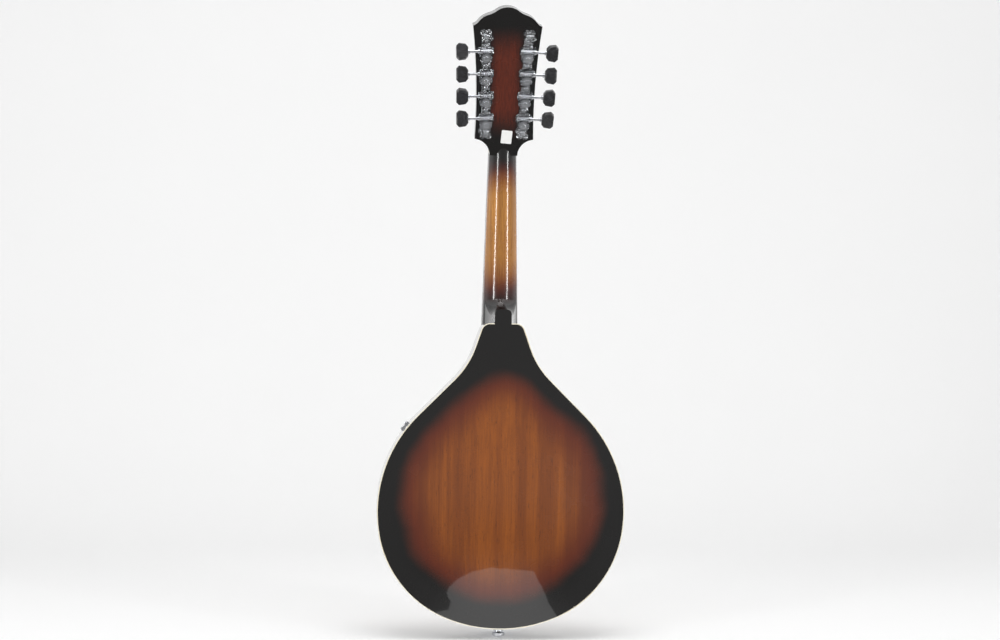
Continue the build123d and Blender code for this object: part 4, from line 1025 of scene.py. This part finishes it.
class MANDOLIN_OT_stage(Operator):
    """Sets up the white studio, its lights and the camera"""

    bl_idname = "mandolin.stage"
    bl_label = "Studio and Camera"

    def execute(self, context):
        scene, stage = context.scene, context.scene.mandolin_stage
        low, high = (Vector(corner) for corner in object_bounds())
        floor = low.z - FLOOR_GAP

        # A sheet of paper that runs under the mandolin and curves up behind it
        paper = start_piece(
            "backdrop_paper", bpy.ops.mesh.primitive_plane_add, size=1, location=(0, 0, floor)
)
        bpy.ops.object.mode_set(mode="EDIT")
        bpy.ops.mesh.select_all(action="SELECT")
        bpy.ops.transform.resize(value=(PAPER_WIDTH, PAPER_FLOOR, 1))
        bpy.ops.transform.translate(value=(0, PAPER_SHIFT, 0))
        bpy.ops.object.mode_set(mode="OBJECT")
        far = PAPER_SHIFT
        for edge in paper.data.edges:
            edge.select = all(paper.data.vertices[v].co.y > far for v in edge.vertices)
        for face in paper.data.polygons:
            face.select = False
        for vertex in paper.data.vertices:
            vertex.select = vertex.co.y > far
        bpy.ops.object.mode_set(mode="EDIT")
        bpy.ops.mesh.select_mode(type="EDGE")
        for step in range(BEND_STEPS):
            angle = math.radians(90) * (step + 0.5) / BEND_STEPS
            run = (0, BEND_STEP * math.cos(angle), BEND_STEP * math.sin(angle))
            bpy.ops.mesh.extrude_region_move(TRANSFORM_OT_translate={"value": run})
        bpy.ops.mesh.extrude_region_move(TRANSFORM_OT_translate={"value": (0, 0, PAPER_WALL)})
        bpy.ops.object.mode_set(mode="OBJECT")
        bpy.ops.object.shade_smooth()
        material, tree, shader, where = finish_material(
            "backdrop paper", roughness=0.9, specular_ior_level=0.1, emission_color=(1, 1, 1, 1)
)
        tooth = put(tree, "TexNoise", {"Vector": where, "Scale": 3.0, "Detail": 3.0}).outputs["Fac"]
        tree.links.new(
            blend_colours(tree, tooth, stage.backdrop, [c * 0.97 for c in stage.backdrop]),
            shader.inputs["Base Color"],
)
        path = put(tree, "LightPath").outputs
        seen = sum_of(
            tree,
            "MAXIMUM",
            path["Is Camera Ray"],
            sum_of(tree, "MAXIMUM", path["Is Glossy Ray"], path["Is Transmission Ray"]),
)
        tree.links.new(sum_of(tree, "MULTIPLY", seen, stage.lift), shader.inputs["Emission Strength"])
        clear = put(tree, "BsdfTransparent")
        behind = put(tree, "NewGeometry").outputs["Backfacing"]
        both = put(tree, "MixShader", {0: behind, 1: shader.outputs[0], 2: clear.outputs[0]})
        tree.links.new(both.outputs[0], tree.nodes["Material Output"].inputs["Surface"])
        paper.data.materials.append(material)

        # A white card on the floor that the low part of the back mirrors
        card = start_piece(
            "reflector_card", bpy.ops.mesh.primitive_plane_add, size=1, location=(0, 0, floor + 0.0005)
)
        bpy.ops.object.mode_set(mode="EDIT")
        bpy.ops.mesh.select_all(action="SELECT")
        bpy.ops.transform.resize(value=(*CARD_SIZE, 1))
        bpy.ops.transform.translate(value=(*CARD_PLACE, 0))
        bpy.ops.object.mode_set(mode="OBJECT")
        shine, tree, shader, where = finish_material("reflector card")
        tree.nodes.remove(shader)
        mirrored = put(tree, "LightPath").outputs["Is Glossy Ray"]
        glow = put(tree, "Emission", {"Color": (1, 1, 1, 1), "Strength": stage.card})
        both = put(
            tree, "MixShader", {0: mirrored, 1: put(tree, "BsdfTransparent").outputs[0], 2: glow.outputs[0]}
)
        tree.links.new(both.outputs[0], tree.nodes["Material Output"].inputs["Surface"])
        card.data.materials.append(shine)
        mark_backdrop(paper, card)

        world = scene.world or bpy.data.worlds.new("studio air")
        scene.world = world
        world.use_nodes = True
        tree = world.node_tree
        tree.nodes.clear()
        path = put(tree, "LightPath").outputs
        seen = sum_of(
            tree,
            "MAXIMUM",
            path["Is Camera Ray"],
            sum_of(tree, "MAXIMUM", path["Is Glossy Ray"], path["Is Transmission Ray"]),
)
        way = put(tree, "SeparateXYZ", {0: put(tree, "TexCoord").outputs["Generated"]}).outputs
        room = sum_of(
            tree,
            "MULTIPLY",
            ease(tree, way["Y"], -0.75, 0.2, stage.room, 1.0),
            ease(tree, way["Z"], -0.3, 0.0, 0.6, 1.0),
)
        mirrored = sum_of(tree, "MAXIMUM", path["Is Camera Ray"], room)
        strength = put(tree, "Mix", {0: seen, 2: stage.air, 3: mirrored}).outputs[0]
        air = put(tree, "Background", {"Color": (1, 1, 1, 1), "Strength": strength})
        tree.links.new(air.outputs[0], put(tree, "OutputWorld").inputs["Surface"])

        middle = Vector((0, 0, (low.z + high.z) / 2))
        for name, place, wide, tall, power in (
            ("strip_left", (-1.05, -1.35, 0.05), 0.16, 1.0, stage.strip_power),
            ("strip_right", (1.05, -1.35, 0.05), 0.16, 1.0, stage.strip_power),
            ("overhead", (0.0, -0.5, 1.6), 1.2, 0.9, stage.top_power),
        ):
            lamp = bpy.data.lights.new(name, "AREA")
            lamp.shape, lamp.size, lamp.size_y, lamp.energy = "RECTANGLE", wide, tall, power
            holder = bpy.data.objects.new(name, lamp)
            scene.collection.objects.link(holder)
            holder.location = middle + Vector(place)
            holder.rotation_euler = (middle - holder.location).to_track_quat("-Z", "Y").to_euler()

        data = bpy.data.cameras.new("studio camera")
        camera = bpy.data.objects.new("studio camera", data)
        scene.collection.objects.link(camera)
        data.sensor_width, data.lens = 36, 36 * stage.distance / stage.width
        aim = Vector((stage.aside, low.y, stage.eye))
        camera.location = aim + stage.distance * Vector((math.sin(stage.turn), -math.cos(stage.turn), 0))
        facing = Matrix.Rotation(
            stage.turn, 4, "Z"
) @ Matrix.Rotation(math.pi / 2, 4, "X") @ Matrix.Rotation(stage.roll, 4, "Z")
        camera.rotation_euler = facing.to_euler()
        scene.camera = camera
        scene.view_settings.view_transform = "Standard"
        return {"FINISHED"}


STEPS = (
    MANDOLIN_OT_back,
    MANDOLIN_OT_top,
    MANDOLIN_OT_neck,
    MANDOLIN_OT_inner_wood,
    MANDOLIN_OT_fingerboard,
    MANDOLIN_OT_binding,
    MANDOLIN_OT_metal,
    MANDOLIN_OT_strings,
    MANDOLIN_OT_plastic,
    MANDOLIN_OT_windings,
    MANDOLIN_OT_label,
    MANDOLIN_OT_stage,
)
SETTINGS = {
    "mandolin_burst": MandolinBurst,
    "mandolin_trim": MandolinTrim,
    "mandolin_label": MandolinLabel,
    "mandolin_windings": MandolinWindings,
    "mandolin_stage": MandolinStage,
}


class MANDOLIN_PT_panel(Panel):
    """Lists the settings and the steps in the sidebar"""

    bl_idname = "MANDOLIN_PT_panel"
    bl_label = "Mandolin"
    bl_space_type = "VIEW_3D"
    bl_region_type = "UI"
    bl_category = "Mandolin"

    def draw(self, context):
        for step in STEPS:
            self.layout.operator(step.bl_idname)
        for name in SETTINGS:
            box = self.layout.box()
            settings = getattr(context.scene, name)
            for key in settings.bl_rna.properties.keys():
                if key not in ("rna_type", "name"):
                    box.prop(settings, key)


def register():
    for kind in (*SETTINGS.values(), *STEPS, MANDOLIN_PT_panel):
        bpy.utils.register_class(kind)
    for name, kind in SETTINGS.items():
        setattr(bpy.types.Scene, name, PointerProperty(type=kind))


def unregister():
    for name in SETTINGS:
        delattr(bpy.types.Scene, name)
    for kind in reversed((*SETTINGS.values(), *STEPS, MANDOLIN_PT_panel)):
        bpy.utils.unregister_class(kind)


def main():
    register()
    for step in STEPS:
        section, name = step.bl_idname.split(".")
        getattr(getattr(bpy.ops, section), name)()


if __name__ == "__main__":
    main()
